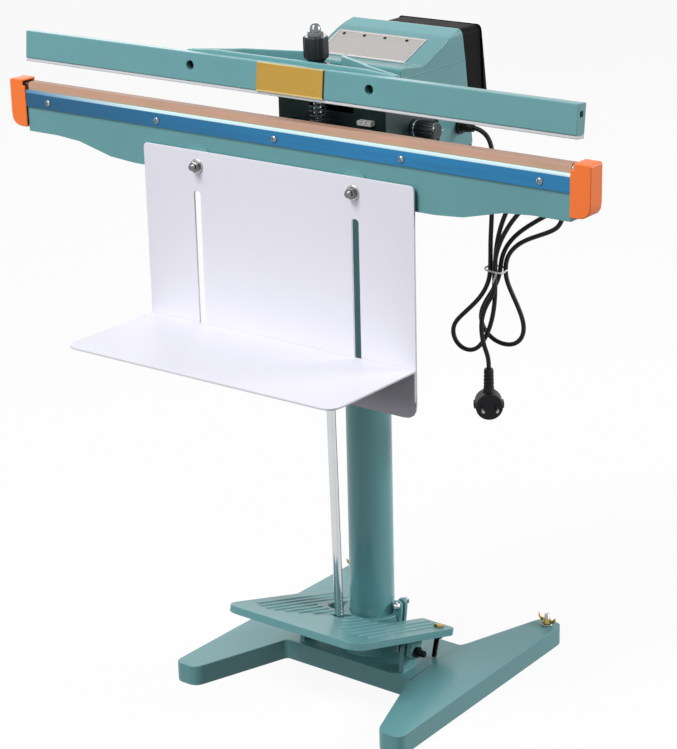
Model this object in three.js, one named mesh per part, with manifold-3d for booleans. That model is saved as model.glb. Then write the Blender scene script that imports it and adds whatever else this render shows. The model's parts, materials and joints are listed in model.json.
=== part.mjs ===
import * as THREE from 'three';
import { mergeVertices } from 'three/addons/utils/BufferGeometryUtils.js';
import Module from 'manifold-3d';

// Foot pedal sealer, in millimetres: +X to the user's right, +Y to the back, +Z up.
// Places are written with y = 0 at the front face of the lower jaw and z = 0 on the floor.
// The last lines move the machine so that its origin lies under the middle of its footprint.

// Clearances shared by all pieces
const touchGap = 0.3;
const runGap = 0.6;
const cutOver = 2;
const lap = 1;
const sameSpot = 0.01;

// Steps of round shapes
const arcSteps = 4;
const fineSteps = 32;
const roundSteps = 20;
const smallSteps = 12;

// Base, hollow underneath, H-shaped seen from above
const baseHeight = 30;
const baseWall = 5;
const baseFrontY = -23;
const baseRearY = 392;
const footOuterFrontX = 198;
const footOuterRearX = 192;
const footInnerFrontX = 160;
const footInnerRearX = 156;
const footJunctionX = 109;
const crossFrontY = 122;
const crossRearY = 250;
const footTipRounding = 13;
const footInnerRounding = 6;

// Column and its socket
const columnY = 185;
const columnRadius = 32;
const columnWall = 3;
const columnTopZ = 741;
const socketFootRadius = 46;
const socketRadius = 42;
const socketTopZ = 85;
const clampScrewX = 41;
const clampScrewZ = 98;
const clampScrewBack = 12;
const clampScrewRadius = 3;
const clampHeadRadius = 6;
const clampHeadThick = 6;
const clampEarRadius = 6.5;
const clampEarThick = 7;
const clampSlit = 4;
const clampEarFootZ = 52;

// Levelling screws with wing nuts on the rear tips of the base
const levellerX = 174;
const levellerY = 377;
const levellerRadius = 4;
const levellerTopZ = 53;
const levellerPadRadius = 9;
const levellerPadThick = 4;
const levellerWasherRadius = 9;
const levellerWasherThick = 2;
const wingHubRadius = 6.5;
const wingHubHeight = 9;
const wingSpan = 17;
const wingHeight = 8;
const wingThick = 3;

// Pedal pivot: cast ears on the base and a bolt on each side of the socket
const pedalAxleY = 147;
const pedalAxleZ = 60;
const pivotBoltRadius = 5;
const pivotBoltInnerX = 78;
const pivotBoltOuterX = 119;
const pivotHeadThick = 5;
const pivotHeadRadius = 9;
const baseEarInnerX = 84;
const baseEarOuterX = 92;
const baseEarRadius = 12;
const baseEarFootHalf = 16;

// Pedal, drawn flat around its own axle: u runs to the back, w runs up
const pedalTilt = 16.4;
const pedalHalfWidth = 115;
const pedalFrontU = -167;
const pedalRearU = 78;
const pedalTopW = 29.8;
const pedalRim = 10.4;
const pedalRimWall = 5;
const pedalSkin = 4;
const pedalFrontRounding = 25;
const pedalRearRounding = 12;
const pedalNotchHalf = 56;
const pedalNotchU = -20;
const pedalNotchRounding = 30;
const treadCount = 8;
const treadPitch = 12;
const treadWidth = 4;
const treadHeight = 1.4;
const treadMargin = 9;
const treadArchX = 74;
const treadArchMargin = 43;
const treadArchDepth = 100;
const pedalEarInnerX = 95;
const pedalEarThick = 8;
const pedalEarRadius = 12;
const rodSlotHalf = 8.5;
const rodSlotFrontU = -59;
const rodSlotRearU = -28;
const pinU = -42;
const pinW = 4;
const pinRadius = 4;
const pinPlay = 0.7;
const pinSlotHalf = 1.9;
const pinLugInnerX = 7;
const pinLugThick = 6;
const pinLugRadius = 10;
const pinHeadThick = 3;
const pinHeadRadius = 6.5;

// Stop bolt through the rear right corner of the pedal
const stopBoltX = 100;
const stopBoltU = 54;
const stopBoltRadius = 4;
const stopHeadRadius = 7.5;
const stopHeadThick = 4.5;
const stopNutThick = 5;
const stopSeatDepth = 0.4;

// Head casting under the lid
const headHalfWidth = 88;
const headWall = 5;
const headFloor = 6;
const headFrontY = 117;
const headBottomZ = 742;
const headTopZ = 868;
const headRearTopY = 287;
const lidRearRise = 46;
const headRearLean = 9.3;
const headBottomRounding = 10;
const headBossRadius = 42;
const headBossFlareRadius = 60;
const headBossBottomZ = 692;
const headBossFlareZ = 724;
const leverSlotHalf = 36;
const lidGateMargin = 4;
const leverSlotZ = 824;
const headShelfRearY = 146;
const headShelfThick = 5;
const jawArmInnerX = 58;
const jawArmOuterX = 72;
const jawArmFlangeInnerX = 46;
const jawArmFlangeOuterX = 84;
const jawArmFlangeThick = 6;
const jawArmTopZ = 810;
const jawArmBottomZ = 760;
const jawArmRootZ = 752;
const rodGuideReach = 40;
const rodGuideHalf = 17;
const rodGuideTopZ = 812;
const rodGuideThick = 12;
const rodGuideBore = 9.6;

// Rear pivot of the swinging arm and how far the jaw stands open
const pivotY = 272;
const pivotZ = 858;
const openAngle = 5.9;
const axleRadius = 6;
const axleEndGap = 2;
const saddleReach = 17;
const saddleHalfDepth = 13;
const saddleBottomZ = 800;

// Lower jaw beam
const beamHalfLength = 437.5;
const beamDepth = 26;
const beamTopZ = 822;
const beamEndBottomZ = 767;
const beamBottomZ = 747;
const beamEndLength = 52.5;
const beamSweepInnerX = 245;
const beamSkin = 5;
const beamFlange = 6;
const beamRibThick = 6;
const beamRibX = 300;
const beamPadHalf = 12;

// Raised sealing bar with its insulating strip, wire and cloth
const sealBarFrontY = 3;
const sealBarDepth = 16;
const sealBarHeight = 10.3;
const sealBarRounding = 2.6;
const insulatorHalf = 5;
const insulatorThick = 0.7;
const wireHalf = 1.6;
const wireThick = 0.5;
const wireOverrun = 9.5;
const clothThick = 0.4;
const clothDropZ = 804;
const clothStep = 2;
const clothEndInset = 1.5;

// Front clamp strip, its screws and the rear clamp strip
const stripThick = 1.5;
const stripBottomZ = 802;
const stripBendZ = 822.4;
const stripTopZ = 825;
const stripLean = 1.2;
const stripScrewZ = 811;
const stripScrewEndInset = 41.5;
const stripScrewSides = 2;
const stripScrewRadius = 2;
const stripScrewHeadRadius = 4.6;
const stripScrewHeadThick = 2.4;
const stripScrewLength = 8;
const rearStripThick = 2;
const rearStripHeight = 8;
const rearStripEndInset = 7.5;

// End caps and the posts that hold the wire
const capLength = 28.2;
const capFrontY = -4;
const capRearY = 27;
const capBottomZ = 773;
const capTopZ = 842;
const capWall = 3;
const capRounding = 18;
const capTopRounding = 4;
const capNotchDepth = 5;
const capNotchZ = 833.5;
const postWidth = 14;
const postFrontY = 3;
const postDepth = 16;
const postBottomZ = 796;
const postFootThick = 4;

// Upper jaw, drawn closed
const jawOverhang = 2.5;
const jawFrontY = 5.5;
const jawDepth = 18.3;
const jawBottomZ = 840.7;
const jawHeight = 37;
const jawBoreWidth = 6.6;
const jawBoreHeight = 7;
const jawBoreDrop = 9.5;
const jawRounding = 1.5;
const siliconeHeight = 4.2;
const siliconeInset = 1.6;
const siliconeOverhang = 1;
const namePlateLeftX = -32;
const namePlateRightX = 75;
const namePlateThick = 0.8;
const jawScrewX = 144;
const jawScrewZ = 861;
const jawScrewRadius = 3;
const jawScrewHeadRadius = 5;
const jawScrewHeadLength = 6;
const jawScrewHoleRadius = 6.2;
const jawScrewSeat = 5;
const jawScrewNutThick = 5;
const jawScrewNutRadius = 6;

// Yoke arm, drawn closed
const yokePadHalf = 18;
const yokePadThick = 7;
const yokePadX = 148;
const yokePadRaise = 2;
const yokeEndTopZ = 878.4;
const yokeTaperX = 96;
const yokeWebBottomZ = 858;
const yokeWebThick = 6;
const yokeRibWidth = 7;
const yokeRibTopZ = 884;
const yokeRibBottomZ = 851;
const yokeKneeX = 110;
const yokeKneeY = 46;
const yokeShoulderX = 30;
const yokeShoulderY = 97;
const yokeHoleMargin = 9;
const hubY = 88;
const hubZ = 862;
const hubRadius = 20;
const hubBottomZ = 848;
const hubTopZ = 873.3;
const hubBore = 8.2;
const hubCounterbore = 13;
const hubCounterboreZ = 861;
const hubTopChamfer = 3;
const leverHalf = 22;
const leverCheek = 8;
const leverNeckY = 140;
const leverNeckTopZ = 853;
const leverNeckBottomZ = 831;
const leverSkin = 7;
const pivotBossRadius = 13;
const pivotBossHalf = 26;

// Pull rod, its lower eye and the springs on it
const rodRadius = 6.25;
const rodEyeHalf = 5;
const rodEyeRadius = 9;
const rodEyeLength = 26;
const rodTopAboveHub = 51;
const rodSwingHalf = 1;
const springWire = 1.1;
const returnSpringRadius = 10.6;
const returnSpringTurns = 8;
const returnSpringTopZ = 864.6;
const pressureSpringRadius = 9;
const pressureSpringTurns = 3;
const pressureSpringTopAboveHub = 12.4;
const springTurnSteps = 8;
const springSides = 5;

// Pressure knob and the dome nut over it
const knobBottomAboveHub = 13.4;
const knobNeckHeight = 5;
const knobNeckRadius = 11.5;
const knobRadius = 16.4;
const knobHeight = 32.4;
const knobFlutes = 10;
const knobFluteDepth = 0.7;
const fluteSteps = 6;
const collarRadius = 10.5;
const collarHeight = 5.5;
const domeRadius = 7.2;
const domeHeight = 11;

// Lid over the casting
const lidWall = 3;
const lidFrontY = 147;
const lidLipRise = 16;
const lidLipRounding = 5;
const lidLedgeY = 195;
const lidLedgeRise = 10;
const lidInclineY = 255;
const lidInclineRise = 35.5;
const lidRoofHalfWidth = 91;
const lidShoulderRounding = 12;
const skirtFrontZ = 846;
const skirtBottomZ = 766;
const skirtStepY = 226;
const skirtStepDepth = 8;
const skirtRounding = 6;
const lidTopRounding = 6;

// Bare panel plate on the lid's incline
const panelLeftX = -83;
const panelRightX = 61;
const panelStart = 6;
const panelLength = 52;
const panelThick = 1;

// Rear cover, to the right of the middle as seen from the front
const coverTopZ = 910;
const coverBottomZ = 792;
const coverRearTopY = 333;
const coverRearBottomY = 343;
const coverTopLeftX = -45;
const coverTopRightX = 88;
const coverDraft = 5;
const coverWall = 3;
const coverRounding = 10;

// Side time knob, timer board, transformer, microswitch and terminals
const timeKnobY = 181;
const timeKnobZ = 799;
const timeKnobRadius = 12.2;
const timeKnobLength = 34;
const timeKnobSkirtRadius = 13.4;
const timeKnobSkirt = 6;
const timeKnobRibs = 12;
const timeKnobRibDepth = 0.6;
const timeKnobFace = 2;
const timeShaftRadius = 3;
const timeShaftLength = 14;
const boardThick = 1.6;
const boardInset = 17;
const boardFrontY = 150;
const boardDepth = 76;
const boardBottomZ = 756;
const boardHeight = 78;
const dialPotHalf = 9;
const transformerLeftX = -62;
const transformerRightX = 34;
const transformerFrontY = 228;
const transformerDepth = 50;
const transformerHeight = 62;
const coilHalf = 22;
const coilBulge = 9;
const switchX = -28;
const switchHalf = 9;
const switchDepth = 9;
const switchBottomZ = 806;
const switchHeight = 16;
const switchPlunger = 2;
const switchPlungerHeight = 5;
const terminalX = 60;
const terminalHalf = 11;
const terminalDepth = 10;
const terminalBottomZ = 813;
const terminalHeight = 6;
const terminalCount = 3;
const terminalGroove = 2;

// Shelf: back plate, tray and their bolts
const shelfHalfWidth = 219.5;
const shelfGap = 4;
const shelfThick = 3;
const shelfTopZ = 780;
const shelfBottomZ = 478;
const shelfTopRounding = 7;
const shelfBottomRounding = 20;
const shelfSlotX = 129;
const shelfSlotHalf = 5.5;
const shelfSlotTopZ = 726;
const shelfSlotBottomZ = 502;
const shelfBoltX = 127;
const shelfBoltZ = 760;
const shelfBoltRadius = 4;
const shelfBoltFrontY = -25;
const shelfNutThick = 7;
const shelfNutRadius = 8.6;
const shelfWasherRadius = 11;
const shelfWasherThick = 1.6;
const shelfHeadThick = 5;
const spacerHalf = 20;
const spacerTopZ = 787;
const trayTopZ = 544.5;
const trayFrontY = -178;
const trayRounding = 20;
const trayFlangeHeight = 46;
const trayBoltZ = 512;

// Mains cord: lead, hank of two lower and two upper loops, tail, tie and plug
const cordRadius = 3.2;
const cordSides = 8;
const glandY = 280;
const glandZ = 783;
const glandFlangeRadius = 11;
const glandFlangeThick = 4;
const glandRadius = 7.5;
const glandTipRadius = 5;
const glandLength = 18.7;
const hankX = 143.5;
const hankY = 286;
const hankZ = 590;
const hankPitch = 7.4;
const hankEnd = 22;
const loopSteps = 24;
const hankSides = 6;
const loopShapeShare = 0.7698;
const swapStartShare = 0.3;
const swapEndShare = 0.7;
const tieHeight = 4;
const tieThick = 1.4;
const tieSlack = 1;
const plugX = 139;
const plugY = 277;
const plugZ = 397;
const plugRadius = 19;
const plugDepth = 30;
const plugSleeveRadius = 7.2;
const plugSleeveTopZ = 449;
const plugPinRadius = 2.4;
const plugPinLength = 19;
const plugPinHalfPitch = 9.5;
const plugClip = 2.5;

// The two sides of the machine and their signs along X
const sides = [['left', -1], ['right', 1]];

const degrees = Math.PI / 180;
const clampScrewY = columnY + clampScrewBack;
const beamSweepOuterX = beamHalfLength - beamEndLength;
const jawHalfLength = beamHalfLength + jawOverhang;
const headRearTopZ = headTopZ + lidRearRise;
const lidLipZ = headTopZ + lidLipRise;
const lidLedgeZ = headTopZ + lidLedgeRise;
const lidInclineZ = headTopZ + lidInclineRise;
const lidHalfWidth = headHalfWidth + touchGap + lidWall;
const headInnerX = headHalfWidth - headWall;
const axleHalfLength = headInnerX - axleEndGap;
const saddleInnerX = headInnerX - saddleReach;
const boardX = headInnerX - boardInset;
const footprintMiddleY = (trayFrontY + baseRearY) / 2;

const wasm = await Module();
wasm.setup();

// Tools for outlines and solids

// Turns a closed geometry into a solid that can be joined and cut
function solid(geometry) {
  const bare = geometry.clone();
  bare.deleteAttribute('normal');
  bare.deleteAttribute('uv');
  const merged = mergeVertices(bare);
  const corners = [];
  for (let i = 0; i < merged.index.count; i += 3) {
    const [a, b, c] = [0, 1, 2].map((k) => merged.index.getX(i + k));
    if (a !== b && b !== c && c !== a) corners.push(a, b, c);
  }
  return new wasm.Manifold(new wasm.Mesh({
    numProp: 3,
    vertProperties: new Float32Array(merged.attributes.position.array),
    triVerts: new Uint32Array(corners),
  }));
}

function geometryOf(body) {
  const mesh = body.getMesh();
  const geometry = new THREE.BufferGeometry();
  geometry.setAttribute('position', new THREE.BufferAttribute(mesh.vertProperties, 3));
  geometry.setIndex(new THREE.BufferAttribute(mesh.triVerts, 1));
  geometry.computeVertexNormals();
  return geometry;
}

function join(first, ...others) {
  return others.reduce((sum, other) => sum.add(other), first);
}

function cut(first, ...tools) {
  return tools.reduce((left, tool) => left.subtract(tool), first);
}

// A closed outline through corners [u, v, rounding]
function outline(corners) {
  const shape = new THREE.Shape();
  const count = corners.length;
  const towards = ([u, v], [otherU, otherV], distance) => {
    const share = distance / Math.hypot(otherU - u, otherV - v);
    return [u + (otherU - u) * share, v + (otherV - v) * share];
  };
  const enters = corners.map((corner, i) => {
    const before = corners[(i + count - 1) % count];
    return towards(corner, before, corner[2] ?? 0);
  });
  const leaves = corners.map((corner, i) => {
    const leave = towards(corner, corners[(i + 1) % count], corner[2] ?? 0);
    const next = enters[(i + 1) % count];
    return Math.hypot(next[0] - leave[0], next[1] - leave[1]) < sameSpot ? next : leave;
  });
  shape.moveTo(...enters[0]);
  corners.forEach(([u, v, rounding = 0], i) => {
    if (rounding > 0) shape.quadraticCurveTo(u, v, ...leaves[i]);
    const next = enters[(i + 1) % count];
    if (leaves[i] !== next && i < count - 1) shape.lineTo(...next);
  });
  shape.closePath();
  return shape;
}

// A rectangle with corners rounded alike
function rectangle([u0, u1], [v0, v1], rounding = 0) {
  return outline([[u0, v0, rounding], [u1, v0, rounding], [u1, v1, rounding], [u0, v1, rounding]]);
}

// The corners of an anticlockwise outline moved inwards by a wall
function inset(corners, wall) {
  const count = corners.length;
  const edges = corners.map(([u, v], i) => {
    const [nextU, nextV] = corners[(i + 1) % count];
    const length = Math.hypot(nextU - u, nextV - v);
    const along = [(nextU - u) / length, (nextV - v) / length];
    return { start: [u - along[1] * wall, v + along[0] * wall], along };
  });
  return edges.map((edge, i) => {
    const before = edges[(i + count - 1) % count];
    const cross = before.along[0] * edge.along[1] - before.along[1] * edge.along[0];
    const [du, dv] = [edge.start[0] - before.start[0], edge.start[1] - before.start[1]];
    const reach = (du * edge.along[1] - dv * edge.along[0]) / cross;
    const rounding = Math.max(0, (corners[i][2] ?? 0) - wall);
    return [before.start[0] + before.along[0] * reach, before.start[1] + before.along[1] * reach, rounding];
  });
}

// The outline of a bent sheet that follows a line of points
function ribbon(points, thick) {
  const half = thick / 2;
  const edge = (side) => points.map(([u, v], i) => {
    const [fromU, fromV] = points[Math.max(0, i - 1)];
    const [toU, toV] = points[Math.min(points.length - 1, i + 1)];
    const length = Math.hypot(toU - fromU, toV - fromV);
    return [u - ((toV - fromV) / length) * half * side, v + ((toU - fromU) / length) * half * side];
  });
  return outline([...edge(-1), ...edge(1).reverse()]);
}

function extruded(shape, from, to) {
  const settings = { depth: to - from, bevelEnabled: false, curveSegments: arcSteps };
  return new THREE.ExtrudeGeometry(shape, settings);
}

// Prisms whose outline is drawn in the plane across X, Y or Z
function prismX(shape, from, to) {
  const axes = new THREE.Matrix4().makeBasis(
    new THREE.Vector3(0, 1, 0), new THREE.Vector3(0, 0, 1), new THREE.Vector3(1, 0, 0));
  return solid(extruded(shape, from, to).applyMatrix4(axes).translate(from, 0, 0));
}

function prismY(shape, from, to) {
  return solid(extruded(shape, from, to).rotateX(Math.PI / 2).translate(0, to, 0));
}

function prismZ(shape, from, to) {
  return solid(extruded(shape, from, to).translate(0, 0, from));
}

function block([x0, x1], [y0, y1], [z0, z1]) {
  const geometry = new THREE.BoxGeometry(x1 - x0, y1 - y0, z1 - z0);
  return solid(geometry.translate((x0 + x1) / 2, (y0 + y1) / 2, (z0 + z1) / 2));
}

// A turned piece from [radius, place along the axis] points, the axis through a place
function turned(profile, axis, [x, y, z], steps = roundSteps) {
  const points = profile.map(([radius, along]) => new THREE.Vector2(radius, along));
  const geometry = new THREE.LatheGeometry(points, steps);
  if (axis === 'x') geometry.rotateZ(-Math.PI / 2);
  if (axis === 'z') geometry.rotateX(Math.PI / 2);
  return solid(geometry.translate(x, y, z));
}

function pin(radius, from, to, axis, place, steps = roundSteps) {
  return turned([[0, from], [radius, from], [radius, to], [0, to]], axis, place, steps);
}

// A round outline whose radius waves, for knobs with flutes or ribs
function fluted(radius, depth, count) {
  const shape = new THREE.Shape();
  const total = count * fluteSteps;
  for (let i = 0; i < total; i += 1) {
    const angle = (i / total) * 2 * Math.PI;
    const reach = radius - depth + depth * Math.cos(count * angle);
    const point = [reach * Math.cos(angle), reach * Math.sin(angle)];
    if (i === 0) shape.moveTo(...point);
    else shape.lineTo(...point);
  }
  shape.closePath();
  return shape;
}

// A closed round tube along points, for springs and the hank
function tube(points, radius, steps) {
  const positions = [];
  const index = [];
  const last = points.length - 1;
  const tangents = points.map((point, i) => points[Math.min(last, i + 1)].clone()
    .sub(points[Math.max(0, i - 1)]).normalize());
  let across = new THREE.Vector3(1, 0, 0);
  if (Math.abs(tangents[0].x) > Math.SQRT1_2) across = new THREE.Vector3(0, 1, 0);
  points.forEach((point, i) => {
    across = across.clone().addScaledVector(tangents[i], -across.dot(tangents[i])).normalize();
    const over = tangents[i].clone().cross(across);
    for (let k = 0; k < steps; k += 1) {
      const angle = (k / steps) * 2 * Math.PI;
      const corner = point.clone()
        .addScaledVector(across, radius * Math.cos(angle))
        .addScaledVector(over, radius * Math.sin(angle));
      positions.push(corner.x, corner.y, corner.z);
    }
  });
  for (let i = 0; i < last; i += 1) {
    for (let k = 0; k < steps; k += 1) {
      const [a, b] = [i * steps + k, i * steps + ((k + 1) % steps)];
      index.push(a, b, a + steps, b, b + steps, a + steps);
    }
  }
  const end = last * steps;
  for (let k = 1; k < steps - 1; k += 1) {
    index.push(0, k + 1, k);
    index.push(end, end + k, end + k + 1);
  }
  const geometry = new THREE.BufferGeometry();
  geometry.setAttribute('position', new THREE.Float32BufferAttribute(positions, 3));
  geometry.setIndex(index);
  geometry.computeVertexNormals();
  return geometry;
}

// Finishes
function finish(color, roughness, metalness) {
  return new THREE.MeshStandardMaterial({ color, roughness, metalness });
}

const tealEnamel = finish('#6f9fa2', 0.35, 0.1);
const darkEnamel = finish('#17352f', 0.4, 0.1);
const whiteEnamel = finish('#ececf4', 0.45, 0);
const chrome = finish('#c9ccce', 0.15, 1);
const zinc = finish('#a9aaa8', 0.4, 0.9);
const brassZinc = finish('#9c8350', 0.4, 0.9);
const goldPlate = finish('#c9a24b', 0.4, 0.7);
const blueStrip = finish('#2878ad', 0.25, 0.4);
const clothBrown = finish('#b98e75', 0.7, 0);
const siliconeGrey = finish('#c9cfd8', 0.6, 0);
const orangePlastic = finish('#ff7a38', 0.45, 0);
const blackPlastic = finish('#26292b', 0.5, 0);
const panelGrey = finish('#cfcbcb', 0.5, 0.2);
const boardGreen = finish('#3b6b45', 0.6, 0);
const copperCoil = finish('#8a4b2a', 0.5, 0.4);
const ceramicWhite = finish('#e6e6e0', 0.5, 0);
const rubberBlack = finish('#1b1c1e', 0.7, 0);
const tieWhite = finish('#e8e8e8', 0.6, 0);

function part(group, name, body, material, place = [0, 0, 0]) {
  const geometry = body.isBufferGeometry ? body : geometryOf(body);
  const mesh = new THREE.Mesh(geometry, material);
  mesh.name = name;
  mesh.position.set(...place);
  group.add(mesh);
  return mesh;
}

// Base and column

function baseFrame() {
  const plan = [
    [footOuterFrontX, baseFrontY, footTipRounding], [footOuterRearX, baseRearY, footTipRounding],
    [footInnerRearX, baseRearY, footTipRounding], [footJunctionX, crossRearY, footInnerRounding],
    [-footJunctionX, crossRearY, footInnerRounding], [-footInnerRearX, baseRearY, footTipRounding],
    [-footOuterRearX, baseRearY, footTipRounding], [-footOuterFrontX, baseFrontY, footTipRounding],
    [-footInnerFrontX, baseFrontY, footTipRounding], [-footJunctionX, crossFrontY, footInnerRounding],
    [footJunctionX, crossFrontY, footInnerRounding], [footInnerFrontX, baseFrontY, footTipRounding],
  ];
  const topSkinZ = baseHeight - baseWall;
  const shell = cut(
    prismZ(outline(plan), 0, baseHeight),
    prismZ(outline(inset(plan, baseWall)), -cutOver, topSkinZ),
  );
  const socket = turned([
    [0, topSkinZ], [socketFootRadius, topSkinZ], [socketFootRadius, baseHeight + lap],
    [socketRadius, socketTopZ], [0, socketTopZ],
  ], 'z', [0, columnY, 0], fineSteps);
  const bore = pin(columnRadius + touchGap, baseHeight, socketTopZ + cutOver, 'z',
    [0, columnY, 0], fineSteps);
  const ears = sides.map(([, side]) => baseEar(side));
  const screwHoles = sides.map(([, side]) => pin(
    levellerRadius + runGap, topSkinZ - cutOver, baseHeight + cutOver, 'z',
    [side * levellerX, levellerY, 0], smallSteps));
  return cut(join(shell, cut(join(socket, clampEars()), bore, clampCuts()), ...ears), ...screwHoles);
}

// One cast ear for the pedal's pivot bolt
function baseEar(side) {
  const shape = outline([
    [pedalAxleY - baseEarFootHalf, baseHeight - lap], [pedalAxleY + baseEarFootHalf, baseHeight - lap],
    [pedalAxleY + baseEarRadius, pedalAxleZ + baseEarRadius, baseEarRadius],
    [pedalAxleY - baseEarRadius, pedalAxleZ + baseEarRadius, baseEarRadius],
  ]);
  const [inner, outer] = [side * baseEarInnerX, side * baseEarOuterX].sort((a, b) => a - b);
  return cut(
    prismX(shape, inner, outer),
    pin(pivotBoltRadius + touchGap, inner - cutOver, outer + cutOver, 'x', [0, pedalAxleY, pedalAxleZ]),
  );
}

// The two ears of the socket's clamp, split by a slit
function clampEars() {
  const reach = clampEarThick + clampSlit / 2;
  const shape = outline([
    [columnRadius + lap, clampEarFootZ], [socketRadius + lap, clampEarFootZ],
    [clampScrewX + clampEarRadius, clampScrewZ - clampEarRadius],
    [clampScrewX + clampEarRadius, clampScrewZ + clampEarRadius, clampEarRadius],
    [clampScrewX - clampEarRadius, clampScrewZ + clampEarRadius, clampEarRadius],
    [clampScrewX - clampEarRadius, socketTopZ], [columnRadius + lap, socketTopZ],
  ]);
  return prismY(shape, clampScrewY - reach, clampScrewY + reach);
}

function clampCuts() {
  const slit = block(
    [columnRadius - cutOver, clampScrewX + clampEarRadius + cutOver],
    [clampScrewY - clampSlit / 2, clampScrewY + clampSlit / 2],
    [clampEarFootZ, clampScrewZ + clampEarRadius + cutOver]);
  const reach = clampEarThick + clampSlit;
  return join(slit, pin(clampScrewRadius + touchGap, clampScrewY - reach, clampScrewY + reach, 'y',
    [clampScrewX, 0, clampScrewZ], smallSteps));
}

function columnClampScrew() {
  const reach = clampEarThick + clampSlit / 2 + touchGap;
  const front = -reach - clampHeadThick;
  return turned([
    [0, front], [clampHeadRadius, front], [clampHeadRadius, -reach], [clampScrewRadius, -reach],
    [clampScrewRadius, reach + clampHeadThick], [0, reach + clampHeadThick],
  ], 'y', [0, 0, 0], smallSteps);
}

// Levelling screw with its pad, washer and wing nut
function leveller() {
  const padTop = touchGap + levellerPadThick;
  const washerZ = baseHeight + touchGap;
  const nutZ = washerZ + levellerWasherThick;
  const hubTop = nutZ + wingHubHeight;
  const spindle = turned([
    [0, touchGap], [levellerPadRadius, touchGap], [levellerPadRadius, padTop],
    [levellerRadius, padTop], [levellerRadius, washerZ], [levellerWasherRadius, washerZ],
    [levellerWasherRadius, nutZ], [wingHubRadius, nutZ], [wingHubRadius, hubTop],
    [levellerRadius, hubTop], [levellerRadius, levellerTopZ], [0, levellerTopZ],
  ], 'z', [0, 0, 0], smallSteps);
  const wings = outline([
    [-wingHubRadius / 2, nutZ + lap], [wingHubRadius / 2, nutZ + lap],
    [wingSpan, hubTop, wingThick], [wingSpan - wingHubRadius, hubTop + wingHeight, wingThick],
    [wingHubRadius / 2, nutZ + wingHeight], [-wingHubRadius / 2, nutZ + wingHeight],
    [wingHubRadius - wingSpan, hubTop + wingHeight, wingThick], [-wingSpan, hubTop, wingThick],
  ]);
  return join(spindle, prismY(wings, -wingThick / 2, wingThick / 2));
}

function columnTube() {
  const inner = columnRadius - columnWall;
  const bottom = baseHeight + touchGap;
  return turned([
    [inner, bottom], [columnRadius, bottom], [columnRadius, columnTopZ], [inner, columnTopZ], [inner, bottom],
  ], 'z', [0, 0, 0], fineSteps);
}

// A pivot bolt from its head inside the ears to its nut and thread end outside
function pedalPivot(side) {
  const headEnd = baseEarInnerX - touchGap;
  const nutStart = pedalEarInnerX + pedalEarThick + runGap;
  const profile = [
    [0, pivotBoltInnerX], [pivotHeadRadius, pivotBoltInnerX], [pivotHeadRadius, headEnd],
    [pivotBoltRadius, headEnd], [pivotBoltRadius, nutStart], [pivotHeadRadius, nutStart],
    [pivotHeadRadius, nutStart + pivotHeadThick], [pivotBoltRadius, nutStart + pivotHeadThick],
    [pivotBoltRadius, pivotBoltOuterX], [0, pivotBoltOuterX],
  ].map(([radius, along]) => [radius, side * along]);
  return turned(side > 0 ? profile : profile.reverse(), 'x', [0, 0, 0], smallSteps);
}

// Pedal, drawn flat around its axle

function pedalPlan(margin) {
  const corners = [
    [-pedalHalfWidth, pedalFrontU, pedalFrontRounding], [pedalHalfWidth, pedalFrontU, pedalFrontRounding],
    [pedalHalfWidth, pedalRearU, pedalRearRounding], [pedalNotchHalf, pedalRearU, pedalRearRounding / 2],
    [pedalNotchHalf, pedalNotchU, pedalNotchRounding], [-pedalNotchHalf, pedalNotchU, pedalNotchRounding],
    [-pedalNotchHalf, pedalRearU, pedalRearRounding / 2], [-pedalHalfWidth, pedalRearU, pedalRearRounding],
  ];
  return outline(margin ? inset(corners, margin) : corners);
}

// The treads start on an arch that rises towards the rod
function treadFrontU(x) {
  const away = (Math.abs(x) - treadArchX) / treadArchX;
  return pedalFrontU + treadArchMargin + treadArchDepth * away * away;
}

function pedalTreads() {
  const strips = [];
  for (let i = -treadCount; i <= treadCount; i += 1) {
    const middle = i * treadPitch;
    strips.push(block(
      [middle - treadWidth / 2, middle + treadWidth / 2], [treadFrontU(middle), pedalRearU],
      [pedalTopW - lap, pedalTopW + treadHeight]));
  }
  const field = prismZ(pedalPlan(treadMargin), pedalTopW - lap, pedalTopW + treadHeight);
  return join(...strips).intersect(field);
}

function rodSlot() {
  const shape = rectangle([-rodSlotHalf, rodSlotHalf], [rodSlotFrontU, rodSlotRearU], rodSlotHalf);
  return prismZ(shape, pedalTopW - pedalRim, pedalTopW + treadHeight + cutOver);
}

// The range across X of a wall that starts at a distance from the middle
function earRange(side, inner, thick) {
  return [side * inner, side * (inner + thick)].sort((a, b) => a - b);
}

// A hanging ear of the pedal with a round hole, or with a slotted one
function hangingEar([u, w], radius, holeRadius, slotHalf, [inner, outer]) {
  const underSkin = pedalTopW - pedalSkin + lap;
  const ear = prismX(outline([
    [u - radius, w - radius, radius], [u + radius, w - radius, radius],
    [u + radius, underSkin], [u - radius, underSkin],
  ]), inner, outer);
  const [from, to] = [inner - cutOver, outer + cutOver];
  if (!slotHalf) return cut(ear, pin(holeRadius, from, to, 'x', [0, u, w], smallSteps));
  const reach = slotHalf + holeRadius;
  const slot = rectangle([u - reach, u + reach], [w - holeRadius, w + holeRadius], holeRadius);
  return cut(ear, prismX(slot, from, to));
}

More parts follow.
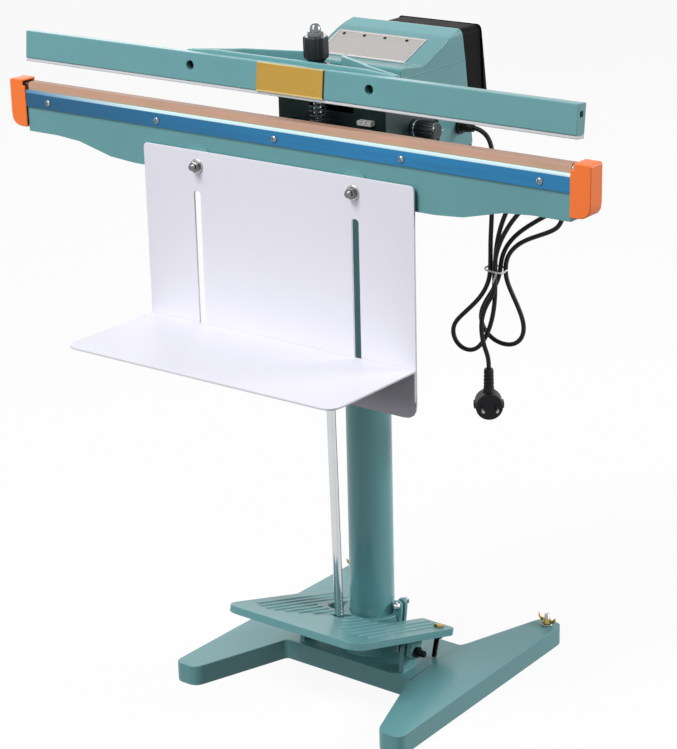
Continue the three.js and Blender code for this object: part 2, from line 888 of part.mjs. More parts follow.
function pedalPlate() {
  const rimBottom = pedalTopW - pedalRim;
  const skinBottom = pedalTopW - pedalSkin;
  const pan = cut(
    prismZ(pedalPlan(0), rimBottom, pedalTopW),
    prismZ(pedalPlan(pedalRimWall), rimBottom - cutOver, skinBottom));
  const ears = sides.flatMap(([, side]) => [
    hangingEar([0, 0], pedalEarRadius, pivotBoltRadius + touchGap, 0,
      earRange(side, pedalEarInnerX, pedalEarThick)),
    hangingEar([pinU, pinW], pinLugRadius, pinRadius + pinPlay, pinSlotHalf,
      earRange(side, pinLugInnerX, pinLugThick)),
  ]);
  const boss = pin(stopHeadRadius, rimBottom, pedalTopW - lap, 'z', [stopBoltX, stopBoltU, 0], smallSteps);
  const boltHole = pin(stopBoltRadius + touchGap, rimBottom - cutOver, pedalTopW + treadHeight + cutOver, 'z',
    [stopBoltX, stopBoltU, 0], smallSteps);
  const seat = pin(stopHeadRadius + runGap, pedalTopW - stopSeatDepth, pedalTopW + treadHeight + cutOver, 'z',
    [stopBoltX, stopBoltU, 0], smallSteps);
  return cut(join(pan, pedalTreads(), ...ears, boss), rodSlot(), boltHole, seat);
}

// The stop bolt stands square to the pedal; its foot just meets the base
function stopBolt() {
  const slope = pedalTilt * degrees;
  const lowEdge = stopBoltRadius * Math.sin(slope);
  const drop = baseHeight + touchGap + lowEdge - pedalAxleZ + stopBoltU * Math.sin(slope);
  const footW = drop / Math.cos(slope);
  const headW = pedalTopW - stopSeatDepth + touchGap;
  const nutTop = pedalTopW - pedalRim - touchGap;
  return turned([
    [0, footW], [stopBoltRadius, footW], [stopBoltRadius, nutTop - stopNutThick],
    [stopHeadRadius, nutTop - stopNutThick], [stopHeadRadius, nutTop], [stopBoltRadius, nutTop],
    [stopBoltRadius, headW], [stopHeadRadius, headW], [stopHeadRadius, headW + stopHeadThick],
    [0, headW + stopHeadThick],
  ], 'z', [0, 0, 0], smallSteps);
}

// Head casting, lid and rear cover

function rearFaceY(z) {
  return headRearTopY + (headRearTopZ - z) * Math.tan(headRearLean * degrees);
}

function headCasting() {
  const tub = cut(
    prismX(outline([
      [headFrontY, headBottomZ, headBottomRounding],
      [rearFaceY(headBottomZ), headBottomZ, headBottomRounding],
      [rearFaceY(headTopZ), headTopZ], [headFrontY, headTopZ],
    ]), -headHalfWidth, headHalfWidth),
    prismX(outline([
      [headFrontY + headWall, headBottomZ + headFloor],
      [rearFaceY(headBottomZ + headFloor) - headWall, headBottomZ + headFloor],
      [rearFaceY(headTopZ + cutOver) - headWall, headTopZ + cutOver],
      [headShelfRearY, headTopZ + cutOver], [headShelfRearY, headTopZ - headShelfThick],
      [headFrontY + headWall, headTopZ - headShelfThick],
    ]), headWall - headHalfWidth, headHalfWidth - headWall));
  const boss = turned([
    [0, headBossBottomZ], [headBossRadius, headBossBottomZ], [headBossRadius, headBossFlareZ],
    [headBossFlareRadius, headBottomZ + lap], [0, headBottomZ + lap],
  ], 'z', [0, columnY, 0], fineSteps);
  const bore = pin(columnRadius + touchGap, headBossBottomZ - cutOver, columnTopZ + touchGap, 'z',
    [0, columnY, 0], fineSteps);
  const leverSlot = block([-leverSlotHalf, leverSlotHalf], [headFrontY - cutOver, headShelfRearY + cutOver],
    [leverSlotZ, headTopZ + cutOver]);
  const shaftHole = pin(timeShaftRadius + runGap, headHalfWidth - headWall - cutOver, headHalfWidth + cutOver,
    'x', [0, timeKnobY, timeKnobZ], smallSteps);
  const cordHole = pin(cordRadius + runGap, headHalfWidth - headWall - cutOver, headHalfWidth + cutOver,
    'x', [0, glandY, glandZ], smallSteps);
  const arms = sides.map(([, side]) => jawArm(side));
  const saddles = sides.map(([, side]) => saddle(side));
  return cut(join(cut(tub, leverSlot), boss, rodGuide(), ...arms, ...saddles), bore, shaftHole, cordHole);
}

// An arm from the casting's front to a flange behind the lower jaw
function jawArm(side) {
  const flangeY = beamDepth + touchGap;
  const web = prismX(outline([
    [flangeY + lap, jawArmBottomZ], [headFrontY + lap, jawArmRootZ], [headFrontY + lap, jawArmTopZ],
    [flangeY + lap, jawArmTopZ],
  ]), ...earRange(side, jawArmInnerX, jawArmOuterX - jawArmInnerX));
  const width = jawArmFlangeOuterX - jawArmFlangeInnerX;
  const plate = rectangle(earRange(side, jawArmFlangeInnerX, width), [jawArmBottomZ, jawArmTopZ],
    jawArmFlangeThick);
  const flange = prismY(plate, flangeY, flangeY + jawArmFlangeThick);
  return join(web, flange);
}

// The lug that guides the pull rod and carries the return spring
function rodGuide() {
  const front = headFrontY - rodGuideReach;
  const plan = outline([
    [-rodGuideHalf, front, rodGuideHalf / 2], [rodGuideHalf, front, rodGuideHalf / 2],
    [rodGuideHalf, headFrontY + lap], [-rodGuideHalf, headFrontY + lap],
  ]);
  const bottom = rodGuideTopZ - rodGuideThick;
  return cut(
    prismZ(plan, bottom, rodGuideTopZ),
    pin(rodGuideBore, bottom - cutOver, rodGuideTopZ + cutOver, 'z', rodSwingMiddleAt(rodGuideTopZ)));
}

// An open saddle on the side wall for one end of the pivot axle
function saddle(side) {
  const wall = headHalfWidth - headWall;
  const place = [0, pivotY, pivotZ];
  const depth = [pivotY - saddleHalfDepth, pivotY + saddleHalfDepth];
  const [inner, outer] = earRange(side, saddleInnerX, wall + lap - saddleInnerX);
  const body = block([inner, outer], depth, [saddleBottomZ, headTopZ - touchGap]);
  const mouth = block([inner - cutOver, outer + cutOver],
    [pivotY - axleRadius - touchGap, pivotY + axleRadius + touchGap], [pivotZ, headTopZ + cutOver]);
  const seat = pin(axleRadius + touchGap, inner - cutOver, outer + cutOver, 'x', place);
  const wallGuard = block([side * wall - cutOver, side * wall + cutOver], depth, [saddleBottomZ, headTopZ]);
  return cut(body, cut(join(mouth, seat), wallGuard));
}

function lidProfile(margin) {
  const bottom = headTopZ + touchGap;
  const corners = [
    [lidFrontY, bottom], [rearFaceY(bottom), bottom], [headRearTopY, headRearTopZ, lidTopRounding],
    [lidInclineY, lidInclineZ, lidTopRounding], [lidLedgeY, lidLedgeZ, lidTopRounding],
    [lidFrontY, lidLipZ, lidLipRounding],
  ];
  if (!margin) return outline(corners);
  const inner = inset(corners, margin);
  inner[0][1] = bottom - cutOver;
  inner[1][1] = bottom - cutOver;
  return outline(inner);
}

// The lid's sides lean in towards the roof and turn into it with a round shoulder
function lidSides(margin) {
  const low = headTopZ - cutOver;
  const top = headRearTopZ - margin;
  const shoulder = lidShoulderRounding - margin;
  return prismY(outline([
    [margin - lidHalfWidth, low], [lidHalfWidth - margin, low],
    [lidRoofHalfWidth - margin, top, shoulder], [margin - lidRoofHalfWidth, top, shoulder],
  ]), headFrontY, coverRearBottomY);
}

// A skirt of the lid that hangs over the casting's side and reaches lower behind the time knob
function lidSkirt(side) {
  const top = headTopZ + touchGap + lap;
  return prismX(outline([
    [lidFrontY, top], [lidFrontY, skirtFrontZ, skirtRounding], [skirtStepY, skirtFrontZ, skirtRounding],
    [skirtStepY + skirtStepDepth, skirtBottomZ, skirtRounding],
    [rearFaceY(skirtBottomZ), skirtBottomZ, skirtRounding], [rearFaceY(top), top],
  ]), ...earRange(side, lidHalfWidth - lidWall, lidWall));
}

function housingLid() {
  const outer = prismX(lidProfile(0), -lidHalfWidth, lidHalfWidth).intersect(lidSides(0));
  const inner = prismX(lidProfile(lidWall), -lidHalfWidth, lidHalfWidth).intersect(lidSides(lidWall));
  const gateHalf = leverHalf + lidGateMargin;
  const leverGate = block([-gateHalf, gateHalf], [lidFrontY - cutOver, lidFrontY + lidWall + cutOver],
    [headTopZ - cutOver, headTopZ + (lidLipZ - headTopZ) / 2]);
  const cordHole = pin(cordRadius + runGap, headHalfWidth, lidHalfWidth + cutOver, 'x', [0, glandY, glandZ],
    smallSteps);
  return cut(join(cut(outer, inner), ...sides.map(([, side]) => lidSkirt(side))), leverGate, cordHole);
}

// The plate lies on the incline between the ledge and the roof
function panelPlate() {
  return block([panelLeftX, panelRightX], [panelStart, panelStart + panelLength],
    [touchGap, touchGap + panelThick]);
}

// The cover widens towards its foot and stands open against the casting
function coverShape(margin) {
  const front = margin ? -headWall : touchGap;
  const top = coverTopZ - margin;
  const bottom = coverBottomZ + margin;
  const side = prismX(outline([
    [rearFaceY(bottom) + front, bottom], [coverRearBottomY - margin, bottom, coverWall],
    [coverRearTopY - margin, top, coverWall], [rearFaceY(top) + front, top],
  ]), coverTopLeftX - headHalfWidth, coverTopRightX + headHalfWidth);
  const spread = (coverTopZ - coverBottomZ) * Math.tan(coverDraft * degrees) / 2;
  const back = prismY(outline([
    [coverTopLeftX - spread + margin, bottom, coverRounding],
    [coverTopRightX + spread - margin, bottom, coverRounding],
    [coverTopRightX - margin, top, coverRounding],
    [coverTopLeftX + margin, top, coverRounding],
  ]), headFrontY, coverRearBottomY + coverWall);
  return side.intersect(back);
}

function rearCover() {
  return cut(coverShape(0), coverShape(coverWall));
}

// Controls and electrics in the head

function timeKnob() {
  const start = headHalfWidth + touchGap;
  const skirtEnd = start + timeKnobSkirt;
  const end = start + timeKnobLength;
  const ribbed = solid(extruded(fluted(timeKnobRadius, timeKnobRibDepth, timeKnobRibs), skirtEnd - lap, end)
    .rotateY(Math.PI / 2).translate(skirtEnd - lap, 0, 0));
  const core = turned([
    [0, headHalfWidth - timeShaftLength], [timeShaftRadius, headHalfWidth - timeShaftLength],
    [timeShaftRadius, start], [timeKnobSkirtRadius, start], [timeKnobSkirtRadius, skirtEnd], [0, skirtEnd],
  ], 'x', [0, 0, 0]);
  const face = pin(timeKnobRadius - timeKnobFace, end - lap, end + timeKnobFace, 'x', [0, 0, 0]);
  return join(core, ribbed, face);
}

function timerBoard() {
  const boardOuterX = boardX + boardThick;
  const board = block([boardX, boardOuterX], [boardFrontY, boardFrontY + boardDepth],
    [boardBottomZ, boardBottomZ + boardHeight]);
  const dial = block([boardOuterX - lap / 2, headHalfWidth - headWall - touchGap],
    [timeKnobY - dialPotHalf, timeKnobY + dialPotHalf], [timeKnobZ - dialPotHalf, timeKnobZ + dialPotHalf]);
  const foot = block([boardX - boardThick, boardOuterX + boardThick], [boardFrontY, boardFrontY + boardDepth],
    [headBottomZ + headFloor + touchGap, boardBottomZ + lap]);
  const shaftHole = pin(timeShaftRadius + touchGap, boardX - cutOver, headHalfWidth, 'x',
    [0, timeKnobY, timeKnobZ], smallSteps);
  return cut(join(board, dial, foot), shaftHole);
}

function transformer() {
  const bottom = headBottomZ + headFloor + touchGap;
  const rear = transformerFrontY + transformerDepth;
  const middleX = (transformerLeftX + transformerRightX) / 2;
  const middleZ = bottom + transformerHeight / 2;
  const core = block([transformerLeftX, transformerRightX], [transformerFrontY + coilBulge, rear - coilBulge],
    [bottom, bottom + transformerHeight]);
  const coil = prismY(rectangle([middleX - coilHalf, middleX + coilHalf],
    [middleZ - coilHalf, middleZ + coilHalf], coilBulge), transformerFrontY, rear);
  return join(core, coil);
}

function microswitch() {
  const rear = headFrontY - touchGap;
  const top = switchBottomZ + switchHeight;
  const body = block([switchX - switchHalf, switchX + switchHalf], [rear - switchDepth, rear],
    [switchBottomZ, top]);
  return join(body, pin(switchPlunger, top - lap, top + switchPlungerHeight, 'z',
    [switchX, rear - switchDepth / 2, 0], smallSteps));
}

function terminalBlock() {
  const rear = headFrontY - touchGap;
  const front = rear - terminalDepth;
  const top = terminalBottomZ + terminalHeight;
  const pitch = (2 * terminalHalf) / terminalCount;
  const grooves = [];
  for (let i = 1; i < terminalCount; i += 1) {
    const x = terminalX - terminalHalf + i * pitch;
    grooves.push(block([x - terminalGroove / 2, x + terminalGroove / 2],
      [front - cutOver, rear - terminalGroove], [terminalBottomZ + terminalGroove, top + cutOver]));
  }
  const body = block([terminalX - terminalHalf, terminalX + terminalHalf], [front, rear],
    [terminalBottomZ, top]);
  return cut(body, ...grooves);
}

// Lower jaw

function beamOutline(margin, topMargin) {
  const end = beamHalfLength - margin;
  const outerZ = beamEndBottomZ + margin;
  const innerZ = beamBottomZ + margin;
  const middle = (beamSweepOuterX + beamSweepInnerX) / 2;
  const shape = new THREE.Shape();
  shape.moveTo(-end, outerZ);
  shape.lineTo(-beamSweepOuterX, outerZ);
  shape.bezierCurveTo(-middle, outerZ, -middle, innerZ, -beamSweepInnerX, innerZ);
  shape.lineTo(beamSweepInnerX, innerZ);
  shape.bezierCurveTo(middle, innerZ, middle, outerZ, beamSweepOuterX, outerZ);
  shape.lineTo(end, outerZ);
  shape.lineTo(end, beamTopZ - topMargin);
  shape.lineTo(-end, beamTopZ - topMargin);
  shape.closePath();
  return shape;
}

// Cast pads and ribs behind the beam's front skin, on one side
function beamRibs(side) {
  const [depth, height] = [[lap, beamDepth], [beamBottomZ, beamTopZ]];
  return [
    block(earRange(side, jawArmFlangeInnerX, jawArmFlangeOuterX - jawArmFlangeInnerX), depth, height),
    block([side * shelfBoltX - beamPadHalf, side * shelfBoltX + beamPadHalf], depth, height),
    block(earRange(side, beamRibX, beamRibThick), depth, height),
  ];
}

// A boss on the beam's front that keeps the shelf off it
function shelfSpacer(side) {
  const [left, right] = [side * shelfBoltX - spacerHalf, side * shelfBoltX + spacerHalf];
  return prismY(outline([
    [left, beamBottomZ], [right, beamBottomZ],
    [right, spacerTopZ, spacerHalf], [left, spacerTopZ, spacerHalf],
  ]), touchGap - shelfGap, lap);
}

function lowerJawBeam() {
  const full = prismY(beamOutline(0, 0), 0, beamDepth);
  const pocket = prismY(beamOutline(beamSkin, beamFlange), beamSkin, beamDepth + cutOver);
  const ribs = sides.flatMap(([, side]) => beamRibs(side)).map((rib) => rib.intersect(full));
  const spacers = sides.map(([, side]) => shelfSpacer(side));
  const holes = sides.map(([, side]) => pin(shelfBoltRadius + touchGap, -shelfGap - cutOver,
    beamDepth + cutOver, 'y', [side * shelfBoltX, 0, shelfBoltZ], smallSteps));
  const screwHoles = stripScrewPlaces().map((x) => pin(stripScrewRadius + touchGap, -cutOver,
    stripScrewLength + touchGap, 'y', [x, 0, stripScrewZ], smallSteps));
  return cut(join(cut(full, pocket), ...ribs, ...spacers), ...holes, ...screwHoles);
}

function stripScrewPlaces() {
  const places = [];
  const pitch = (beamHalfLength - stripScrewEndInset) / stripScrewSides;
  for (let i = -stripScrewSides; i <= stripScrewSides; i += 1) places.push(i * pitch);
  return places;
}

function sealingBar() {
  const bottom = beamTopZ + touchGap;
  const top = bottom + sealBarHeight;
  return prismX(outline([
    [sealBarFrontY, bottom], [sealBarFrontY + sealBarDepth, bottom],
    [sealBarFrontY + sealBarDepth, top, sealBarRounding], [sealBarFrontY, top, sealBarRounding],
  ]), -beamHalfLength, beamHalfLength);
}

const sealTopZ = beamTopZ + touchGap + sealBarHeight;
const sealMiddleY = sealBarFrontY + sealBarDepth / 2;
const insulatorBottomZ = sealTopZ + touchGap;
const wireBottomZ = insulatorBottomZ + insulatorThick + touchGap;
const clothTopZ = wireBottomZ + wireThick + touchGap + clothThick / 2;

function insulatingStrip() {
  return block([-beamHalfLength, beamHalfLength], [sealMiddleY - insulatorHalf, sealMiddleY + insulatorHalf],
    [insulatorBottomZ, insulatorBottomZ + insulatorThick]);
}

function heatingWire() {
  const end = beamHalfLength + wireOverrun;
  return block([-end, end], [sealMiddleY - wireHalf, sealMiddleY + wireHalf],
    [wireBottomZ, wireBottomZ + wireThick]);
}

// The cloth hangs from under the front strip over the bar to the rear strip
function clothPath() {
  const side = touchGap + clothThick / 2;
  const frontY = sealBarFrontY - side;
  const rearY = sealBarFrontY + sealBarDepth + side;
  const shoulderZ = sealTopZ - sealBarRounding / 2;
  return [
    [-side, clothDropZ], [-side, beamTopZ + side], [frontY, beamTopZ + side + clothStep], [frontY, shoulderZ],
    [frontY + sealBarRounding, clothTopZ], [rearY - sealBarRounding, clothTopZ],
    [rearY, shoulderZ], [rearY, beamTopZ + lap],
  ];
}

function clothScrewCuts(radius, z) {
  return stripScrewPlaces().map((x) => pin(radius, -beamDepth, beamSkin, 'y', [x, 0, z], smallSteps));
}

function ptfeCloth() {
  const end = beamHalfLength - clothEndInset;
  const sheet = prismX(ribbon(clothPath(), clothThick), -end, end);
  return cut(sheet, ...clothScrewCuts(stripScrewRadius + touchGap, stripScrewZ));
}

function frontClampStrip() {
  const y = -(touchGap + clothThick + touchGap + stripThick / 2);
  const bent = ribbon([[y, stripBottomZ], [y, stripBendZ], [y + stripLean, stripTopZ]], stripThick);
  return cut(prismX(bent, -beamHalfLength, beamHalfLength),
    ...clothScrewCuts(stripScrewRadius + touchGap, stripScrewZ));
}

function stripScrew() {
  const seat = -(touchGap + clothThick + touchGap + stripThick + touchGap);
  const crown = seat - stripScrewHeadThick;
  return turned([
    [0, crown], [stripScrewHeadRadius - lap, crown], [stripScrewHeadRadius, crown + lap],
    [stripScrewHeadRadius, seat], [stripScrewRadius, seat], [stripScrewRadius, stripScrewLength],
    [0, stripScrewLength],
  ], 'y', [0, 0, 0], smallSteps);
}

function rearClampStrip() {
  const y = sealBarFrontY + sealBarDepth + touchGap + clothThick + touchGap;
  const z = beamTopZ + touchGap;
  const end = beamHalfLength - rearStripEndInset;
  return block([-end, end], [y, y + rearStripThick],
    [z, z + rearStripHeight]);
}

// End cap open towards the beam, with a step under the end of the upper jaw
function endCap(side) {
  const inner = beamHalfLength + touchGap;
  const capOuterX = inner + capLength;
  const capShape = (margin, innerX) => outline([
    [innerX, capBottomZ + margin], [capOuterX - margin, capBottomZ + margin, capRounding - margin],
    [capOuterX - margin, capTopZ - margin, capTopRounding], [innerX, capTopZ - margin],
  ].map(([x, z, rounding = 0]) => [side * x, z, rounding]));
  const shell = cut(
    prismY(capShape(0, inner), capFrontY, capRearY),
    prismY(capShape(capWall, inner - cutOver), capFrontY + capWall, capRearY - capWall));
  const notch = block(earRange(side, inner - cutOver, cutOver + capNotchDepth),
    [capFrontY - cutOver, capRearY + cutOver], [capNotchZ, capTopZ + cutOver]);
  return cut(shell, notch);
}

// Spring-leaf post on the end of the beam that holds the wire's end
function tensionPost(side) {
  const inner = beamHalfLength + touchGap;
  const top = wireBottomZ - touchGap;
  return prismY(outline([
    [inner, postBottomZ], [inner + postFootThick, postBottomZ], [inner + postFootThick, top - postWidth],
    [inner + postWidth, top - postFootThick], [inner + postWidth, top], [inner, top],
  ].map(([x, z]) => [side * x, z])), postFrontY, postFrontY + postDepth);
}

// Swinging arm with the upper jaw, drawn closed around the rear pivot

// A thick bar with a small bore along it and two counterbored screw holes
function upperJawBar() {
  const jawRearY = jawFrontY + jawDepth;
  const jawTopZ = jawBottomZ + jawHeight;
  const middleY = jawFrontY + jawDepth / 2;
  const boreTopZ = jawTopZ - jawBoreDrop;
  const bar = prismX(rectangle([jawFrontY, jawRearY], [jawBottomZ, jawTopZ], jawRounding),
    -jawHalfLength, jawHalfLength);
  const bore = prismX(rectangle([middleY - jawBoreWidth / 2, middleY + jawBoreWidth / 2],
    [boreTopZ - jawBoreHeight, boreTopZ], jawRounding), -jawHalfLength - cutOver, jawHalfLength + cutOver);
  const seatY = jawRearY - jawScrewSeat;
  const holes = sides.flatMap(([, side]) => [
    pin(jawScrewHoleRadius, jawFrontY - cutOver, seatY, 'y', [side * jawScrewX, 0, jawScrewZ]),
    pin(jawScrewRadius + touchGap, seatY - cutOver, jawRearY + cutOver, 'y',
      [side * jawScrewX, 0, jawScrewZ], smallSteps),
  ]);
  return cut(bar, bore, ...holes);
}

function siliconeStrip() {
  const reach = jawHalfLength + siliconeOverhang;
  const top = jawBottomZ - touchGap;
  return prismX(outline([
    [jawFrontY + siliconeInset, top - siliconeHeight, jawRounding],
    [jawFrontY + jawDepth - siliconeInset, top - siliconeHeight, jawRounding],
    [jawFrontY + jawDepth - siliconeInset, top], [jawFrontY + siliconeInset, top],
  ]), -reach, reach);
}

function namePlate() {
  const rear = jawFrontY - touchGap;
  return block([namePlateLeftX, namePlateRightX], [rear - namePlateThick, rear],
    [jawBottomZ, jawBottomZ + jawHeight]);
}

function jawScrew() {
  const seat = jawFrontY + jawDepth - jawScrewSeat - touchGap;
  const head = seat - jawScrewHeadLength;
  const nut = jawFrontY + jawDepth + touchGap + yokePadThick + touchGap;
  return turned([
    [0, head], [jawScrewHeadRadius, head], [jawScrewHeadRadius, seat], [jawScrewRadius, seat],
    [jawScrewRadius, nut], [jawScrewNutRadius, nut], [jawScrewNutRadius, nut + jawScrewNutThick],
    [0, nut + jawScrewNutThick],
  ], 'y', [0, 0, 0], smallSteps);
}

function mirrored(corners) {
  return [...corners, ...corners.map(([x, ...rest]) => [-x, ...rest]).reverse()];
}

const yokeFrontY = jawFrontY + jawDepth + touchGap;
const yokePadRearY = yokeFrontY + yokePadThick;

function yokeArm() {
  const plan = mirrored([
    [yokePadX + yokePadHalf, yokeFrontY], [yokePadX + yokePadHalf, yokePadRearY + yokeRibWidth],
    [yokeKneeX, yokeKneeY + yokeRibWidth], [yokeShoulderX + yokeRibWidth, yokeShoulderY + yokeRibWidth],
    [leverHalf, leverNeckY],
  ]);
  const web = prismZ(outline(plan), yokeWebBottomZ, yokeWebBottomZ + yokeWebThick);
  const windows = sides.flatMap(([, side]) => yokeWindows(side));
  const wings = sides.flatMap(([, side]) => [yokeRim(side), yokePad(side)]);
  const frontRim = block([-yokePadX, yokePadX], [yokeFrontY, yokePadRearY],
    [yokeRibBottomZ, yokeRibTopZ - yokePadRaise]);
  const hub = turned([
    [0, hubBottomZ], [hubRadius, hubBottomZ], [hubRadius, hubTopZ - hubTopChamfer],
    [hubRadius - hubTopChamfer, hubTopZ], [0, hubTopZ],
  ], 'z', [0, hubY, 0]);
  const tapers = sides.map(([, side]) => yokeTaper(side));
  return cut(join(cut(web, ...windows), ...wings, frontRim, hub, lever()), ...yokeHoles(), ...tapers);
}

// What is taken off so that a wing gets lower towards its end
function yokeTaper(side) {
  const end = yokePadX + yokePadHalf + cutOver;
  const above = yokeRibTopZ + cutOver;
  return prismY(outline([
    [end, yokeEndTopZ], [end, above], [yokeTaperX, above], [yokeTaperX, yokeRibTopZ],
  ].map(([x, z]) => [side * x, z])), yokeFrontY - cutOver, yokeShoulderY);
}

// The pad behind one of the upper jaw's screws
function yokePad(side) {
  return block([side * yokePadX - yokePadHalf, side * yokePadX + yokePadHalf],
    [yokeFrontY, yokePadRearY], [jawBottomZ + yokePadRaise, yokeRibTopZ - yokePadRaise]);
}

// The rim that stiffens one wing, from its pad over the knee to the lever
function yokeRim(side) {
  const half = yokeRibWidth / 2;
  const line = [
    [yokePadX + yokePadHalf, yokePadRearY + half], [yokeKneeX, yokeKneeY + half],
    [yokeShoulderX + half, yokeShoulderY + half], [leverHalf - half, leverNeckY - hubRadius],
  ].map(([x, y]) => [side * x, y]);
  if (side < 0) line.reverse();
  return prismZ(ribbon(line, yokeRibWidth), yokeRibBottomZ, yokeRibTopZ);
}

function yokeHoles() {
  const place = [0, hubY, 0];
  const nutDepth = touchGap + jawScrewNutThick + touchGap;
  return [
    pin(hubBore, hubBottomZ - hubRadius, hubTopZ + cutOver, 'z', place),
    pin(hubCounterbore, hubCounterboreZ, yokeRibTopZ + cutOver, 'z', place),
    ...sides.map(([, side]) => pin(jawScrewRadius + touchGap, yokeFrontY - cutOver, yokePadRearY + cutOver,
      'y', [side * jawScrewX, 0, jawScrewZ], smallSteps)),
    ...sides.map(([, side]) => pin(jawScrewNutRadius + runGap, yokePadRearY, yokePadRearY + nutDepth,
      'y', [side * jawScrewX, 0, jawScrewZ], smallSteps)),
    pin(axleRadius + touchGap, -pivotBossHalf - cutOver, pivotBossHalf + cutOver, 'x', [0, pivotY, pivotZ]),
  ];
}

// Two lightening windows in one wing of the web
function yokeWindows(side) {
  const rounding = yokeHoleMargin / 2;
  const front = yokePadRearY + yokeHoleMargin;
  const innerX = hubRadius + yokeHoleMargin;
  const splitX = (yokePadX - yokePadHalf + innerX) / 2;
  const rimSlope = (yokeShoulderY - yokeKneeY) / (yokeKneeX - yokeShoulderX);
  const rimY = (x) => yokeKneeY + (yokeKneeX - x) * rimSlope - yokeHoleMargin;
  const inner = [
    [innerX, front, rounding], [splitX - rounding, front, rounding],
    [splitX - rounding, rimY(splitX), rounding],
    [innerX + yokeHoleMargin, rimY(innerX + yokeHoleMargin), rounding],
    [innerX, hubY - hubRadius, rounding],
  ];
  const outer = [
    [splitX + rounding, front, rounding / 2], [yokeKneeX - yokeHoleMargin, front, rounding / 2],
    [splitX + rounding, rimY(splitX + yokeHoleMargin), rounding / 2],
  ];
  return [inner, outer].map((corners) => prismZ(
    outline(corners.map(([x, y, round]) => [side * x, y, round])),
    yokeWebBottomZ - cutOver, yokeWebBottomZ + yokeWebThick + cutOver));
}

// The lever runs from the hub back to the pivot, hollow underneath
function lever() {
  const bossTop = pivotZ + pivotBossRadius;
  const bossBottom = pivotZ - pivotBossRadius;
  const side = outline([
    [hubY, hubBottomZ], [hubY + hubRadius, hubBottomZ], [leverNeckY, leverNeckBottomZ],
    [pivotY, bossBottom], [pivotY, bossTop],
    [leverNeckY, leverNeckTopZ], [hubY, hubTopZ - hubTopChamfer],
  ]);
  const hollow = outline([
    [hubY + hubRadius, leverNeckBottomZ - hubRadius],
    [pivotY - pivotBossRadius, leverNeckBottomZ - hubRadius],
    [pivotY - pivotBossRadius, bossTop - leverSkin - lap], [leverNeckY, leverNeckTopZ - leverSkin],
    [hubY + hubRadius, leverNeckTopZ - leverSkin + lap],
  ]);
  const bar = cut(prismX(side, -leverHalf, leverHalf),
    prismX(hollow, leverCheek - leverHalf, leverHalf - leverCheek));
  return join(bar, pin(pivotBossRadius, -pivotBossHalf, pivotBossHalf, 'x', [0, pivotY, pivotZ]));
}

// Where things of the swinging arm stand when the jaw is open
function opened(y, z) {
  const angle = -openAngle * degrees;
  const [dy, dz] = [y - pivotY, z - pivotZ];
  return [
    pivotY + dy * Math.cos(angle) - dz * Math.sin(angle),
    pivotZ + dy * Math.sin(angle) + dz * Math.cos(angle),
  ];
}

// The rod runs from the pin under the pedal to the middle of the hub
function rodLine() {
  const slope = pedalTilt * degrees;
  const pinY = pedalAxleY + pinU * Math.cos(slope) + pinW * Math.sin(slope);
  const pinZ = pedalAxleZ - pinU * Math.sin(slope) + pinW * Math.cos(slope);
  const [headY, headZ] = opened(hubY, hubZ);
  return {
    headY,
    headZ,
    lean: Math.atan2(pinY - headY, headZ - pinZ),
    length: Math.hypot(pinY - headY, headZ - pinZ),
  };
}

// The middle of the rod's small swing at a height, a little ahead of where it rests
function rodSwingMiddleAt(z) {
  const { headY, headZ, lean } = rodLine();
  return [0, headY + (headZ - z) * Math.tan(lean) - rodSwingHalf, 0];
}

// Pull rod and what turns or rides on it, drawn upright around the hub's middle

function pullRod(length) {
  const eyeTop = rodEyeLength - length;
  const shank = pin(rodRadius, eyeTop - rodEyeRadius, rodTopAboveHub, 'z', [0, 0, 0]);
  const eyeBottom = -length - rodEyeRadius;
  const eye = prismX(outline([
    [-rodEyeRadius, eyeBottom, rodEyeRadius], [rodEyeRadius, eyeBottom, rodEyeRadius],
    [rodRadius, eyeTop], [-rodRadius, eyeTop],
  ]), -rodEyeHalf, rodEyeHalf);
  return cut(join(shank, eye), pin(pinRadius + touchGap, -rodEyeHalf - cutOver, rodEyeHalf + cutOver, 'x',
    [0, 0, -length], smallSteps));
}

function rodPin() {
  const reach = pinLugInnerX + pinLugThick + runGap;
  const profile = [
    [0, -reach - pinHeadThick], [pinHeadRadius, -reach - pinHeadThick], [pinHeadRadius, -reach],
    [pinRadius, -reach], [pinRadius, reach], [pinHeadRadius, reach], [pinHeadRadius, reach + pinHeadThick],
    [0, reach + pinHeadThick],
  ];
  return turned(profile, 'x', [0, 0, 0], smallSteps);
}

function spring(radius, turns, bottom, top) {
  const points = [];
  const steps = turns * springTurnSteps;
  const [low, high] = [bottom + springWire, top - springWire];
  for (let i = 0; i <= steps; i += 1) {
    const angle = (i / springTurnSteps) * 2 * Math.PI;
    const rise = low + (high - low) * (i / steps);
    points.push(new THREE.Vector3(radius * Math.cos(angle), radius * Math.sin(angle), rise));
  }
  return tube(points, springWire, springSides);
}

function pressureKnob() {
  const bottom = knobBottomAboveHub;
  const shoulder = bottom + knobNeckHeight;
  const top = bottom + knobHeight;
  const neck = turned([
    [0, bottom], [knobNeckRadius, bottom], [knobRadius - knobFluteDepth, shoulder],
    [knobRadius - knobFluteDepth, shoulder + lap], [0, shoulder + lap],
  ], 'z', [0, 0, 0]);
  const grip = prismZ(fluted(knobRadius, knobFluteDepth, knobFlutes), shoulder, top);
  return cut(join(neck, grip), pin(rodRadius + touchGap, bottom - cutOver, top + cutOver, 'z', [0, 0, 0]));
}

